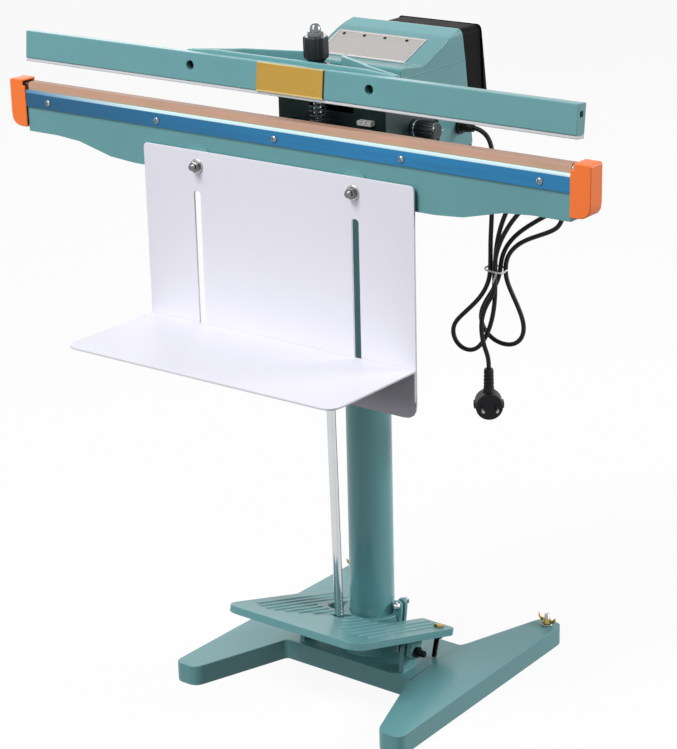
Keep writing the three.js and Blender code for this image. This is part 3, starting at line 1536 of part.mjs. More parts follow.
function domeNut() {
  const bottom = knobBottomAboveHub + knobHeight + touchGap;
  const collarTop = bottom + collarHeight;
  const top = collarTop + domeHeight;
  const dome = [0, 30, 60, 90].map((angle) => [
    domeRadius * Math.cos(angle * degrees), top - domeRadius + domeRadius * Math.sin(angle * degrees),
  ]);
  dome[dome.length - 1] = [0, top];
  const nut = turned([
    [0, bottom], [collarRadius, bottom], [collarRadius, collarTop - lap], [collarRadius - lap, collarTop],
    [domeRadius, collarTop], ...dome,
  ], 'z', [0, 0, 0]);
  return cut(nut, pin(rodRadius + touchGap, bottom - cutOver, rodTopAboveHub + touchGap, 'z', [0, 0, 0]));
}

// Shelf

function shelfBackPlate() {
  const front = -(shelfGap + shelfThick);
  const shape = outline([
    [-shelfHalfWidth, shelfBottomZ, shelfBottomRounding], [shelfHalfWidth, shelfBottomZ, shelfBottomRounding],
    [shelfHalfWidth, shelfTopZ, shelfTopRounding], [-shelfHalfWidth, shelfTopZ, shelfTopRounding],
  ]);
  const cuts = sides.flatMap(([, side]) => [
    prismY(rectangle([side * shelfSlotX - shelfSlotHalf, side * shelfSlotX + shelfSlotHalf],
      [shelfSlotBottomZ, shelfSlotTopZ], shelfSlotHalf), front - cutOver, 0),
    pin(shelfBoltRadius + touchGap, front - cutOver, 0, 'y', [side * shelfBoltX, 0, shelfBoltZ], smallSteps),
  ]);
  return cut(prismY(shape, front, -shelfGap), ...cuts);
}

function shelfTray() {
  const rear = -(shelfGap + shelfThick + touchGap);
  const top = prismZ(outline([
    [-shelfHalfWidth, trayFrontY, trayRounding], [shelfHalfWidth, trayFrontY, trayRounding],
    [shelfHalfWidth, rear], [-shelfHalfWidth, rear],
  ]), trayTopZ - shelfThick, trayTopZ);
  const flangeBottom = trayTopZ - trayFlangeHeight;
  const flange = prismY(outline([
    [-shelfHalfWidth, flangeBottom, shelfTopRounding], [shelfHalfWidth, flangeBottom, shelfTopRounding],
    [shelfHalfWidth, trayTopZ], [-shelfHalfWidth, trayTopZ],
  ]), rear - shelfThick, rear);
  const holes = sides.map(([, side]) => pin(shelfBoltRadius + touchGap, rear - shelfThick - cutOver,
    rear + cutOver, 'y', [side * shelfSlotX, 0, trayBoltZ], smallSteps));
  return cut(join(top, flange), ...holes);
}

// A bolt along Y with its head behind and its nut and washer in front
function shelfBolt(headY, seatY, frontY) {
  const washer = seatY - shelfWasherThick;
  const nut = washer - shelfNutThick;
  return turned([
    [0, frontY], [shelfBoltRadius, frontY], [shelfBoltRadius, nut], [shelfNutRadius, nut],
    [shelfNutRadius, washer], [shelfWasherRadius, washer], [shelfWasherRadius, seatY],
    [shelfBoltRadius, seatY], [shelfBoltRadius, headY], [shelfNutRadius, headY],
    [shelfNutRadius, headY + shelfHeadThick], [0, headY + shelfHeadThick],
  ], 'y', [0, 0, 0], smallSteps);
}

// Cord

function cordGland() {
  const start = lidHalfWidth + touchGap;
  const flangeEnd = start + glandFlangeThick;
  const end = start + glandLength;
  return cut(
    turned([
      [0, start], [glandFlangeRadius, start], [glandFlangeRadius, flangeEnd], [glandRadius, flangeEnd],
      [glandTipRadius, end], [0, end],
    ], 'x', [0, glandY, glandZ]),
    pin(cordRadius + touchGap, start - cutOver, flangeEnd, 'x', [0, glandY, glandZ], smallSteps));
}

function cordTube(points) {
  const places = points.map((point) => new THREE.Vector3(...point));
  const curve = new THREE.CatmullRomCurve3(places, false, 'centripetal');
  const section = new THREE.Shape();
  for (let k = 0; k < cordSides; k += 1) {
    const angle = (k / cordSides) * 2 * Math.PI;
    const corner = [cordRadius * Math.cos(angle), cordRadius * Math.sin(angle)];
    if (k === 0) section.moveTo(...corner);
    else section.lineTo(...corner);
  }
  section.closePath();
  const steps = Math.round(curve.getLength() / (cordRadius * 5));
  return solid(new THREE.ExtrudeGeometry(section, { steps, extrudePath: curve, bevelEnabled: false }));
}

// The lead leaves the gland, turns down and comes to the hank's first strand
function leadPoints() {
  const start = lidHalfWidth + touchGap + glandLength + touchGap;
  const [endX, endY] = passPlace(0);
  return [
    [start, glandY, glandZ], [start + 2 * cordRadius, glandY, glandZ], [125, 281, 778], [135, 283, 765],
    [139.5, 284, 748], [140, 285, 715], [138, 286, 664], [endX, endY, hankZ + hankEnd + 4 * cordRadius],
    [endX, endY, hankZ + hankEnd + touchGap],
  ];
}

function tailPoints() {
  const [startX, startY] = passPlace(4);
  return [
    [startX, startY, hankZ - hankEnd - touchGap], [startX, startY, 560], [138, 275, 543], [130, 273, 518],
    [132, 273, 488], [plugX, plugY, 462], [plugX, plugY, plugSleeveTopZ + touchGap],
  ];
}

// Places of the five strands where the tie holds them, as steps of the strand pitch
const passShares = [[-1, 0], [0, 0], [0.5, 1], [1.5, 1], [0.5, -1]];

function passPlace(k) {
  return [hankX + passShares[k][0] * hankPitch, hankY + passShares[k][1] * hankPitch];
}

// Each loop: its rise from the tie, its lean to the right, its half width, its turn and its depth
const hankLoops = [
  { rise: -118, lean: -56, half: -22, turn: 0, depth: -3 },
  { rise: 128, lean: 92, half: -24, turn: 12, depth: 4 },
  { rise: -112, lean: -8, half: -32, turn: 0, depth: 10 },
  { rise: 104, lean: 100, half: 24, turn: -14, depth: -4 },
];

function hankPoints() {
  const points = [];
  const [firstX, firstY] = passPlace(0);
  const [lastX, lastY] = passPlace(4);
  points.push(new THREE.Vector3(firstX, firstY, hankZ + hankEnd));
  points.push(new THREE.Vector3(firstX, firstY, hankZ + hankEnd - 2 * cordRadius));
  hankLoops.forEach((loop, k) => {
    const [fromX, fromY] = passPlace(k);
    const [toX, toY] = passPlace(k + 1);
    for (let i = 0; i < loopSteps; i += 1) {
      const share = (i + 0.5) / loopSteps;
      const reach = Math.sin(Math.PI * share);
      const spread = (2 * reach * reach * Math.cos(Math.PI * share) * loop.half) / loopShapeShare;
      const swap = THREE.MathUtils.smoothstep(share, swapStartShare, swapEndShare);
      points.push(new THREE.Vector3(
        fromX + (toX - fromX) * swap + loop.lean * reach * reach + spread * Math.cos(loop.turn * degrees),
        fromY + (toY - fromY) * swap + loop.depth * reach * reach + spread * Math.sin(loop.turn * degrees),
        hankZ + loop.rise * reach));
    }
  });
  points.push(new THREE.Vector3(lastX, lastY, hankZ - hankEnd + 2 * cordRadius));
  points.push(new THREE.Vector3(lastX, lastY, hankZ - hankEnd));
  return points;
}

// The least gap between strands that aren't neighbours along the tube
function leastGap(points) {
  const far = 4 * cordRadius * Math.PI;
  const along = [0];
  for (let i = 1; i < points.length; i += 1) along.push(along[i - 1] + points[i].distanceTo(points[i - 1]));
  let least = Infinity;
  for (let i = 1; i < points.length; i += 1) {
    for (let j = i + 2; j < points.length; j += 1) {
      if (along[j] - along[i] < far) continue;
      least = Math.min(least, segmentGap(points[i - 1], points[i], points[j - 1], points[j]));
    }
  }
  return least - 2 * cordRadius;
}

function segmentGap(a, b, c, d) {
  const checks = 6;
  let least = Infinity;
  for (let i = 0; i <= checks; i += 1) {
    const point = a.clone().lerp(b, i / checks);
    const near = new THREE.Line3(c, d).closestPointToPoint(point, true, new THREE.Vector3());
    least = Math.min(least, point.distanceTo(near));
  }
  return least;
}

// The tie is a narrow band around the strands
function cordTie() {
  const reach = cordRadius + touchGap + tieSlack;
  const places = passShares.map((share, k) => passPlace(k));
  const [left, right] = [Math.min, Math.max].map((end) => end(...places.map(([x]) => x)));
  const [front, rear] = [Math.min, Math.max].map((end) => end(...places.map(([, y]) => y)));
  const band = (margin) => rectangle([left - reach - margin, right + reach + margin],
    [front - reach - margin, rear + reach + margin], hankPitch);
  return cut(
    prismZ(band(tieThick), hankZ - tieHeight / 2, hankZ + tieHeight / 2),
    prismZ(band(0), hankZ - tieHeight, hankZ + tieHeight));
}

function powerPlug() {
  const front = -plugDepth / 2;
  const body = turned([
    [0, front], [plugRadius - cordRadius, front], [plugRadius, front + cordRadius], [plugRadius, -front],
    [0, -front],
  ], 'y', [0, 0, 0], fineSteps);
  const sleeveBase = plugRadius - cordRadius;
  const sleeve = turned([
    [0, 0], [plugSleeveRadius + cordRadius, 0], [plugSleeveRadius + cordRadius / 2, sleeveBase],
    [plugSleeveRadius, plugRadius + cordRadius], [plugSleeveRadius, plugSleeveTopZ - plugZ],
    [0, plugSleeveTopZ - plugZ],
  ], 'z', [0, 0, 0]);
  const pins = sides.map(([, side]) => pin(plugPinRadius, -front - lap, -front + plugPinLength, 'y',
    [side * plugPinHalfPitch, 0, 0], smallSteps));
  const clips = block([-plugRadius - plugClip, plugRadius + plugClip], [-plugClip, plugDepth / 2 - plugClip],
    [-plugClip, plugClip]);
  return join(body, sleeve, clips, ...pins);
}

// Assembly

const machine = new THREE.Group();
const rod = rodLine();

part(machine, 'base_frame', baseFrame(), tealEnamel);
part(machine, 'column_clamp_screw', columnClampScrew(), zinc, [clampScrewX, clampScrewY, clampScrewZ]);
part(machine, 'column_tube', columnTube(), tealEnamel, [0, columnY, 0]);
part(machine, 'head_casting', headCasting(), darkEnamel);
part(machine, 'housing_lid', housingLid(), tealEnamel);
part(machine, 'rear_cover', rearCover(), blackPlastic);
part(machine, 'time_knob', timeKnob(), zinc, [0, timeKnobY, timeKnobZ]);
part(machine, 'timer_board', timerBoard(), boardGreen);
part(machine, 'transformer', transformer(), copperCoil);
part(machine, 'microswitch', microswitch(), blackPlastic);
part(machine, 'terminal_block', terminalBlock(), ceramicWhite);
part(machine, 'pivot_axle', pin(axleRadius, -axleHalfLength, axleHalfLength, 'x', [0, 0, 0]), zinc,
  [0, pivotY, pivotZ]);

const panel = part(machine, 'panel_plate', panelPlate(), panelGrey, [0, lidLedgeY, lidLedgeZ]);
panel.rotation.x = Math.atan2(lidInclineZ - lidLedgeZ, lidInclineY - lidLedgeY);

part(machine, 'lower_jaw_beam', lowerJawBeam(), tealEnamel);
part(machine, 'sealing_bar', sealingBar(), zinc);
part(machine, 'insulating_strip', insulatingStrip(), ceramicWhite);
part(machine, 'heating_wire', heatingWire(), zinc);
part(machine, 'ptfe_cloth', ptfeCloth(), clothBrown);
part(machine, 'front_clamp_strip', frontClampStrip(), blueStrip);
part(machine, 'rear_clamp_strip', rearClampStrip(), zinc);
stripScrewPlaces().forEach((x, i) => {
  part(machine, `strip_screw_${i + 1}`, stripScrew(), zinc, [x, 0, stripScrewZ]);
});

const boltHeadY = beamDepth + touchGap;
const shelfSeatY = -(shelfGap + shelfThick + touchGap);
const traySeatY = shelfSeatY - shelfThick - touchGap;
part(machine, 'shelf_back_plate', shelfBackPlate(), whiteEnamel);
sides.forEach(([name, side]) => {
  part(machine, `leveller_${name}`, leveller(), brassZinc, [side * levellerX, levellerY, 0]);
  part(machine, `pedal_pivot_${name}`, pedalPivot(side), zinc, [0, pedalAxleY, pedalAxleZ]);
  part(machine, `end_cap_${name}`, endCap(side), orangePlastic);
  part(machine, `tension_post_${name}`, tensionPost(side), zinc);
  part(machine, `shelf_bolt_${name}`, shelfBolt(boltHeadY, shelfSeatY, shelfBoltFrontY), zinc,
    [side * shelfBoltX, 0, shelfBoltZ]);
});

const tray = new THREE.Group();
part(tray, 'shelf_tray', shelfTray(), whiteEnamel);
sides.forEach(([name, side]) => {
  const bolt = shelfBolt(-shelfGap + touchGap, traySeatY, traySeatY - shelfNutThick - shelfWasherThick - lap);
  part(tray, `tray_bolt_${name}`, bolt, zinc, [side * shelfSlotX, 0, trayBoltZ]);
});
machine.add(tray);

const pedal = new THREE.Group();
pedal.position.set(0, pedalAxleY, pedalAxleZ);
pedal.rotation.x = -pedalTilt * degrees;
part(pedal, 'pedal_plate', pedalPlate(), tealEnamel);
part(pedal, 'pedal_stop_bolt', stopBolt(), brassZinc, [stopBoltX, stopBoltU, 0]);
machine.add(pedal);

// The arm's pieces are drawn closed, so its group turns them open about the pivot
const arm = new THREE.Group();
arm.position.set(0, pivotY, pivotZ);
arm.rotation.x = -openAngle * degrees;
const closed = [0, -pivotY, -pivotZ];
part(arm, 'yoke_arm', yokeArm(), tealEnamel, closed);
part(arm, 'upper_jaw_bar', upperJawBar(), tealEnamel, closed);
part(arm, 'silicone_strip', siliconeStrip(), siliconeGrey, closed);
part(arm, 'name_plate', namePlate(), goldPlate, closed);
sides.forEach(([name, side]) => {
  part(arm, `jaw_screw_${name}`, jawScrew(), zinc, [side * jawScrewX, -pivotY, jawScrewZ - pivotZ]);
});
machine.add(arm);

const rodGroup = new THREE.Group();
rodGroup.position.set(0, rod.headY, rod.headZ);
rodGroup.rotation.x = rod.lean;
part(rodGroup, 'pull_rod', pullRod(rod.length), chrome);
part(rodGroup, 'rod_pin', rodPin(), zinc, [0, 0, -rod.length]);
part(rodGroup, 'pressure_spring', spring(pressureSpringRadius, pressureSpringTurns,
  hubCounterboreZ - hubZ + runGap, pressureSpringTopAboveHub), zinc);
part(rodGroup, 'pressure_knob', pressureKnob(), blackPlastic);
part(rodGroup, 'dome_nut', domeNut(), chrome);
machine.add(rodGroup);

part(machine, 'return_spring', spring(returnSpringRadius, returnSpringTurns,
  rodGuideTopZ + touchGap, returnSpringTopZ), zinc, rodSwingMiddleAt(rodGuideTopZ));

const hank = hankPoints();
console.log(`least gap of the hank to itself: ${leastGap(hank).toFixed(2)} mm`);
part(machine, 'cord_gland', cordGland(), rubberBlack);
part(machine, 'cord_lead', cordTube(leadPoints()), rubberBlack);
part(machine, 'cord_hank', tube(hank, cordRadius, hankSides), rubberBlack);
part(machine, 'cord_tail', cordTube(tailPoints()), rubberBlack);
part(machine, 'cord_tie', cordTie(), tieWhite);
part(machine, 'power_plug', powerPlug(), rubberBlack, [plugX, plugY, plugZ]);

machine.position.y = -footprintMiddleY;

export default machine;
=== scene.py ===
import json
import math

import bpy
from bpy.props import FloatProperty, FloatVectorProperty, IntProperty, PointerProperty
from mathutils import Matrix, Vector

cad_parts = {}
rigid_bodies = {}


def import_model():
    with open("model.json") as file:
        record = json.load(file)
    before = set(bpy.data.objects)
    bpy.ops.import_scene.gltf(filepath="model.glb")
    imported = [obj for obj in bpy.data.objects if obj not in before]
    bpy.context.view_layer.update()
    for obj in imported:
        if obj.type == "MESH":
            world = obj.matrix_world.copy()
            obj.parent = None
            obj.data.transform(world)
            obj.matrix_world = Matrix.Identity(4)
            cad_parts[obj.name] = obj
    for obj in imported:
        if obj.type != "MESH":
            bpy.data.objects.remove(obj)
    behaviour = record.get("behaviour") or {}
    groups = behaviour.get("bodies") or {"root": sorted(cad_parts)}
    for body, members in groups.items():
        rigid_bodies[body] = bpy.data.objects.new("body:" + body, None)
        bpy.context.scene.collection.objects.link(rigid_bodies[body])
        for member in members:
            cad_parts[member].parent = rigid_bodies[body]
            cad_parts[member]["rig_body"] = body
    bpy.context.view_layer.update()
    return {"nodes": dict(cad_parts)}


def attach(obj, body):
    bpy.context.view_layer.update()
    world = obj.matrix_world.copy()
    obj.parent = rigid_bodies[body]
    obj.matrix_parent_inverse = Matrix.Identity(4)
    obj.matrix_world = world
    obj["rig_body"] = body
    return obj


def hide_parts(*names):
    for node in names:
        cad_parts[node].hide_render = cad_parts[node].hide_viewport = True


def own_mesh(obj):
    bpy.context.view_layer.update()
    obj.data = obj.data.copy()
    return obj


bl_info = {
    "name": "Foot pedal sealer",
    "version": (1, 0, 0),
    "blender": (4, 5, 0),
    "location": "View3D > Sidebar > Sealer",
    "description": "Dresses the foot pedal sealer: enamel, chrome, cloth, cord, screws and the studio",
    "category": "Object",
}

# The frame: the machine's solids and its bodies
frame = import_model()
MM = 0.001
WHOLE_TURN = 2 * math.pi

# How a finished copy is merged, flattened, rounded and shaded; angles in degrees
MERGE_DISTANCE = 0.01 * MM
FLAT_ANGLE = 1
EDGE_ANGLE = 40
EDGE_STEPS = 2
SMOOTH_ANGLE = 35


def linear(text):
    """Turns an sRGB hex colour such as "#6fa3a6" into the linear values that shaders take."""
    values = [int(text[i:i + 2], 16) / 255 for i in (1, 3, 5)]
    return [v / 12.92 if v <= 0.04045 else ((v + 0.055) / 1.055) ** 2.4 for v in values] + [1.0]


class SealerColours(bpy.types.PropertyGroup):
    """Colours that a user would change"""
    enamel: FloatVectorProperty(
        name="Teal enamel", description="Enamel of the base, the column, the jaws, the pedal and the lid",
        subtype="COLOR", size=4, min=0, max=1, default=linear("#63999d"))
    # Painted shade: the head casting's near-black green stands for the teal casting's deep shade under the
    # upper jaw
    casting: FloatVectorProperty(
        name="Dark enamel", description="Enamel of the head casting", subtype="COLOR", size=4, min=0, max=1,
        default=linear("#142c29"))
    shelf: FloatVectorProperty(
        name="Shelf powder coat", description="Powder coat of the shelf and its tray", subtype="COLOR",
        size=4, min=0, max=1, default=linear("#e4e3ed"))
    end_caps: FloatVectorProperty(
        name="End caps", description="Moulded plastic of the end caps", subtype="COLOR", size=4, min=0,
        max=1, default=linear("#ff7d36"))
    film: FloatVectorProperty(
        name="Blue film", description="Film on the clamp strip in front of the lower jaw", subtype="COLOR",
        size=4, min=0, max=1, default=linear("#1f78ab"))
    cloth: FloatVectorProperty(
        name="Cover cloth", description="Coated glass cloth over the heating wire", subtype="COLOR", size=4,
        min=0, max=1, default=linear("#ba917a"))


class SealerSizes(bpy.types.PropertyGroup):
    """Sizes that a user would change"""
    casting_edge: FloatProperty(
        name="Cast edge", description="Rounding along the edges of the enamelled castings", unit="LENGTH",
        default=1.2 * MM, min=0.1 * MM, max=3 * MM)
    sheet_edge: FloatProperty(
        name="Sheet edge", description="Rounding along the edges of sheet metal and strips", unit="LENGTH",
        default=0.35 * MM, min=0.05 * MM, max=1 * MM)
    cord_diameter: FloatProperty(
        name="Cord diameter", description="Diameter of the mains cord", unit="LENGTH",
        default=6.4 * MM, min=4 * MM, max=10 * MM)
    round_steps: IntProperty(
        name="Round steps", description="Steps around a turned piece", default=48, min=16, max=96)


# Work with objects, as by hand

def choose(piece):
    """Leaves one object selected and active."""
    bpy.ops.object.select_all(action="DESELECT")
    piece.select_set(True)
    bpy.context.view_layer.objects.active = piece


def apply_modifier(piece, kind, **settings):
    """Adds a modifier with its settings and applies it."""
    choose(piece)
    modifier = piece.modifiers.new(kind.title(), kind)
    for name, value in settings.items():
        setattr(modifier, name, value)
    bpy.ops.object.modifier_apply(modifier=modifier.name)


def round_edges(piece, width, steps, degrees=0, **settings):
    """Rounds the edges that are sharper than an angle, or all of them when it is zero."""
    apply_modifier(piece, "BEVEL", width=width, segments=steps, limit_method="ANGLE" if degrees else "NONE",
                   angle_limit=math.radians(degrees), **settings)


def settle(piece):
    """Puts the piece's place, turn and scale into its mesh."""
    choose(piece)
    bpy.ops.object.transform_apply(location=True, rotation=True, scale=True)


def smooth(piece, degrees=SMOOTH_ANGLE):
    """Shades the piece smooth up to an angle between its faces, and keeps its large faces flat."""
    choose(piece)
    bpy.ops.object.shade_smooth_by_angle(angle=math.radians(degrees))
    apply_modifier(piece, "WEIGHTED_NORMAL", keep_sharp=True)


def paint(piece, material):
    """Gives the piece one material."""
    piece.data.materials.clear()
    piece.data.materials.append(material)


def fit(piece, body, material, stands_for=()):
    """Paints a finished piece and lets it ride on its body."""
    paint(piece, material)
    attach(piece, body)
    if stands_for:
        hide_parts(*stands_for)
    return piece


def finished(node, material, edge=0.0, degrees=SMOOTH_ANGLE):
    """A merged copy of a machine piece, with rounded edges and smooth curves, that stands for it."""
    source = frame["nodes"][node]
    piece = bpy.data.objects.new(f"{node}_finished", source.data.copy())
    bpy.context.scene.collection.objects.link(piece)
    choose(piece)
    bpy.ops.object.mode_set(mode="EDIT")
    bpy.ops.mesh.select_all(action="SELECT")
    bpy.ops.mesh.remove_doubles(threshold=MERGE_DISTANCE)
    bpy.ops.mesh.dissolve_limited(angle_limit=math.radians(FLAT_ANGLE))
    bpy.ops.mesh.select_all(action="SELECT")
    bpy.ops.mesh.vert_connect_concave()
    bpy.ops.object.mode_set(mode="OBJECT")
    if edge:
        round_edges(piece, edge, EDGE_STEPS, EDGE_ANGLE, use_clamp_overlap=False)
    smooth(piece, degrees)
    return fit(piece, source["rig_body"], material, [node])


def finish_all(pieces, edge):
    """Finishes the pieces of a table, with each edge as a share of the given one."""
    return [finished(node, finishes[finish], edge * share) for node, finish, slot, share in pieces]


def pick(piece, kind, test):
    """Opens the piece in edit mode with only the faces or points selected that pass a test."""
    choose(piece)
    bpy.ops.object.mode_set(mode="EDIT")
    bpy.ops.mesh.select_mode(type=kind)
    bpy.ops.mesh.select_all(action="DESELECT")
    bpy.ops.object.mode_set(mode="OBJECT")
    mesh = piece.data
    if kind == "FACE":
        for face in mesh.polygons:
            face.select = test(face.center / MM, face.normal)
    else:
        for point in mesh.vertices:
            point.select = test(point.co / MM)
    bpy.ops.object.mode_set(mode="EDIT")


def done(piece, degrees=SMOOTH_ANGLE):
    """Leaves edit mode with the faces pointing outwards and the curves smooth."""
    bpy.ops.mesh.select_all(action="SELECT")
    bpy.ops.mesh.normals_make_consistent(inside=False)
    bpy.ops.object.mode_set(mode="OBJECT")
    smooth(piece, degrees)
    return piece


def turned(name, outline, steps, ring=False, degrees=SMOOTH_ANGLE):
    """A piece drawn upright from a circle along its outline of radius and height, as on a lathe."""
    bpy.ops.object.select_all(action="DESELECT")
    radius, height = outline[0]
    bpy.ops.mesh.primitive_circle_add(
        vertices=steps, radius=radius * MM, fill_type="NOTHING" if ring else "NGON",
        location=(0, 0, height * MM))
    piece = bpy.context.object
    piece.name = name
    bpy.ops.object.mode_set(mode="EDIT")
    bpy.ops.mesh.select_mode(type="VERT")
    bpy.ops.mesh.select_all(action="SELECT")
    for next_radius, next_height in outline[1:] + (outline[:1] if ring else []):
        bpy.ops.mesh.extrude_region_move(
            TRANSFORM_OT_translate={"value": (0, 0, (next_height - height) * MM)})
        share = next_radius / radius
        bpy.ops.transform.resize(value=(share, share, 1), center_override=(0, 0, next_height * MM))
        radius, height = next_radius, next_height
    if ring:
        bpy.ops.mesh.select_all(action="SELECT")
        bpy.ops.mesh.remove_doubles(threshold=MERGE_DISTANCE)
    done(piece, degrees)
    settle(piece)
    return piece


def block(name, low, high, edge=0.0, steps=2):
    """A block between two corners in millimetres, with rounded edges."""
    bpy.ops.object.select_all(action="DESELECT")
    low, high = Vector(low), Vector(high)
    bpy.ops.mesh.primitive_cube_add(size=1, location=(low + high) / 2 * MM, scale=(high - low) * MM)
    piece = bpy.context.object
    piece.name = name
    settle(piece)
    if edge:
        round_edges(piece, edge * MM, steps)
    smooth(piece)
    return piece


def stand(piece, place, axis=(0, 0, 1), spin=0.0):
    """Turns an upright piece onto its axis and moves it to its place in millimetres, kept in its mesh."""
    turn = Vector(axis).normalized().to_track_quat("Z", "Y").to_matrix().to_4x4()
    piece.matrix_world = (Matrix.Translation(Vector(place) * MM) @ turn
                          @ Matrix.Rotation(math.radians(spin), 4, "Z") @ piece.matrix_world)
    settle(piece)
    return piece


def joined(name, *parts):
    """One piece out of several closed parts."""
    bpy.ops.object.select_all(action="DESELECT")
    for part in parts:
        part.select_set(True)
    bpy.context.view_layer.objects.active = parts[0]
    bpy.ops.object.join()
    parts[0].name = name
    return parts[0]


def twin(piece, name):
    """A copy of a piece with its own mesh."""
    other = piece.copy()
    other.data = piece.data.copy()
    other.name = name
    bpy.context.scene.collection.objects.link(other)
    return other


def cut_by(piece, tool):
    """Cuts a tool's shape out of the piece and throws the tool away."""
    apply_modifier(piece, "BOOLEAN", object=tool, operation="DIFFERENCE", solver="EXACT")
    bpy.data.objects.remove(tool)


def thread(radius, depth, start, end, pitch):
    """The outline of a screw thread drawn as rings, from one height to another."""
    count = max(1, round(abs(end - start) / pitch))
    step = (end - start) / count
    points = []
    for i in range(count):
        points += [(radius, start + i * step), (radius - depth, start + (i + 0.5) * step)]
    return points + [(radius, end)]


# Materials

def add(tree, kind, settings=None, inputs=None):
    """Adds a node with its settings, and sets or links its inputs by name or number."""
    made = tree.nodes.new(kind)
    for name, value in (settings or {}).items():
        setattr(made, name, value)
    for name, value in (inputs or {}).items():
        if isinstance(value, bpy.types.NodeSocket):
            tree.links.new(value, made.inputs[name])
        else:
            made.inputs[name].default_value = value
    return made


def new_finish(name, **inputs):
    """A material with a Principled shader whose inputs are set by name."""
    material = bpy.data.materials.new(name)
    material.use_nodes = True
    shader = material.node_tree.nodes["Principled BSDF"]
    for key, value in inputs.items():
        shader.inputs[key.replace("_", " ").title().replace("Ior", "IOR")].default_value = value
    return material, material.node_tree, shader


def shades(colour, *factors):
    """The colour made darker or lighter by factors."""
    return [[min(1.0, c * f) for c in colour[:3]] + [1.0] for f in factors]


# Heights in metres where the cloth changes colour and where the film's painted highlight begins, and the
# scale of a weave 1.2 mm wide
CLOTH_LOW = (0.8245, 0.8285)
CLOTH_HIGH = (0.832, 0.835)
FILM_HIGHLIGHT_HEIGHTS = (0.8207, 0.8215)
WEAVE_SCALE = WHOLE_TURN / (1.2 * MM) / 20


def blended(tree, share, low, high, kind="MIX"):
    """Goes from one colour to another by a share."""
    mix = add(tree, "ShaderNodeMix", {"data_type": "RGBA", "blend_type": kind}, {0: share, 6: low, 7: high})
    return mix.outputs[2]


def spread(tree, value, start, end, low=0.0, high=1.0):
    """Turns a value between start and end into one between low and high."""
    ranged = add(tree, "ShaderNodeMapRange", inputs={
        "Value": value, "From Min": start, "From Max": end, "To Min": low, "To Max": high})
    return ranged.outputs[0]


def cloudy(tree, place, size, detail):
    """A noise whose patches have a real size in metres."""
    noise = add(tree, "ShaderNodeTexNoise", inputs={"Vector": place, "Scale": 1 / size, "Detail": detail})
    return noise.outputs["Fac"]


def raise_by(tree, shader, height, texture):
    """Raises the surface by a real height where a texture is bright."""
    bump = add(tree, "ShaderNodeBump", inputs={"Strength": 1.0, "Distance": height, "Height": texture})
    tree.links.new(bump.outputs["Normal"], shader.inputs["Normal"])


def mottle(tree, shader, colour, size, darker, lighter):
    """Lets the colour drift between a darker and a lighter shade over patches of a real size."""
    place = add(tree, "ShaderNodeTexCoord").outputs["Object"]
    noise = cloudy(tree, place, size, 3)
    mixed = blended(tree, noise, *shades(colour, darker, lighter))
    tree.links.new(mixed, shader.inputs["Base Color"])
    return place, noise, mixed


def roughen(tree, shader, noise, low, high):
    """Lets the roughness follow a noise between two values."""
    tree.links.new(spread(tree, noise, 0.0, 1.0, low, high), shader.inputs["Roughness"])


def grain(tree, shader, place, size, height, detail=2):
    """Raises a fine grain of a real size and height on the surface."""
    raise_by(tree, shader, height, cloudy(tree, place, size, detail))


def baked_enamel(name, colour, roughness=0.36, peel=0.012 * MM):
    """Sprayed and baked enamel: an even glossy skin with a faint orange peel that softens reflections, and
    a painted highlight along its sharp edges.
    """
    material, tree, shader = new_finish(
        name, roughness=roughness, specular_ior_level=0.35, coat_weight=0.1, coat_roughness=0.12)
    place, noise, body = mottle(tree, shader, colour, 60 * MM, 0.955, 1.04)
    # The enamel is thin on sharp edges, which look paler
    # Sharp edges are painted paler: a painted highlight along the rounded edges
    point = add(tree, "ShaderNodeNewGeometry").outputs["Pointiness"]
    painted_edge_highlight = blended(tree, spread(tree, point, 0.52, 0.62, 0.0, 0.35), body, shades(colour, 1.7)[0])
    tree.links.new(painted_edge_highlight, shader.inputs["Base Color"])
    roughen(tree, shader, noise, roughness - 0.05, roughness + 0.07)
    grain(tree, shader, place, 2.4 * MM, peel)
    return material


def cast_enamel(colour):
    """Enamel on sand-cast iron, in a near-black green that paints the casting's shade under the jaw: the
    sand's pits show through the paint.
    """
    material, tree, shader = new_finish(
        "sand-cast enamel darkened as painted shade", roughness=0.42, specular_ior_level=0.35)
    place, noise, _ = mottle(tree, shader, colour, 25 * MM, 0.8, 1.25)
    roughen(tree, shader, noise, 0.34, 0.55)
    grain(tree, shader, place, 2.2 * MM, 0.12 * MM, 4)
    return material


def powder_coat(colour):
    """White powder coat on steel sheet: matt, with the fine texture of the fused powder."""
    material, tree, shader = new_finish("white powder coat on steel sheet", roughness=0.5)
    place, noise, _ = mottle(tree, shader, colour, 90 * MM, 0.985, 1.01)
    roughen(tree, shader, noise, 0.44, 0.56)
    grain(tree, shader, place, 1.4 * MM, 0.02 * MM)
    return material


def plated_metal(name, colour, roughness, streak=0.25, drift=0.08, size=9 * MM):
    """Plated or bare metal: bright, with faint patches from the plating bath and fine wear."""
    material, tree, shader = new_finish(name, roughness=roughness, metallic=1.0)
    place, noise, _ = mottle(tree, shader, colour, size, 1 - drift, 1 + drift)
    roughen(tree, shader, noise, roughness * (1 - streak), roughness * (1 + streak))
    grain(tree, shader, place, 0.8 * MM, 0.004 * MM)
    return material


def drawn_metal(name, colour, roughness, stretch):
    """Metal with brush or drawing lines along one axis: the lines spread its reflections across them."""
    material, tree, shader = new_finish(name, roughness=roughness, metallic=1.0)
    place = add(tree, "ShaderNodeTexCoord").outputs["Object"]
    lines = add(tree, "ShaderNodeMapping", inputs={"Vector": place, "Scale": stretch})
    noise = cloudy(tree, lines.outputs[0], 0.5 * MM, 3)
    tree.links.new(blended(tree, noise, *shades(colour, 0.9, 1.08)), shader.inputs["Base Color"])
    roughen(tree, shader, noise, roughness * 0.75, roughness * 1.3)
    raise_by(tree, shader, 0.004 * MM, noise)
    return material


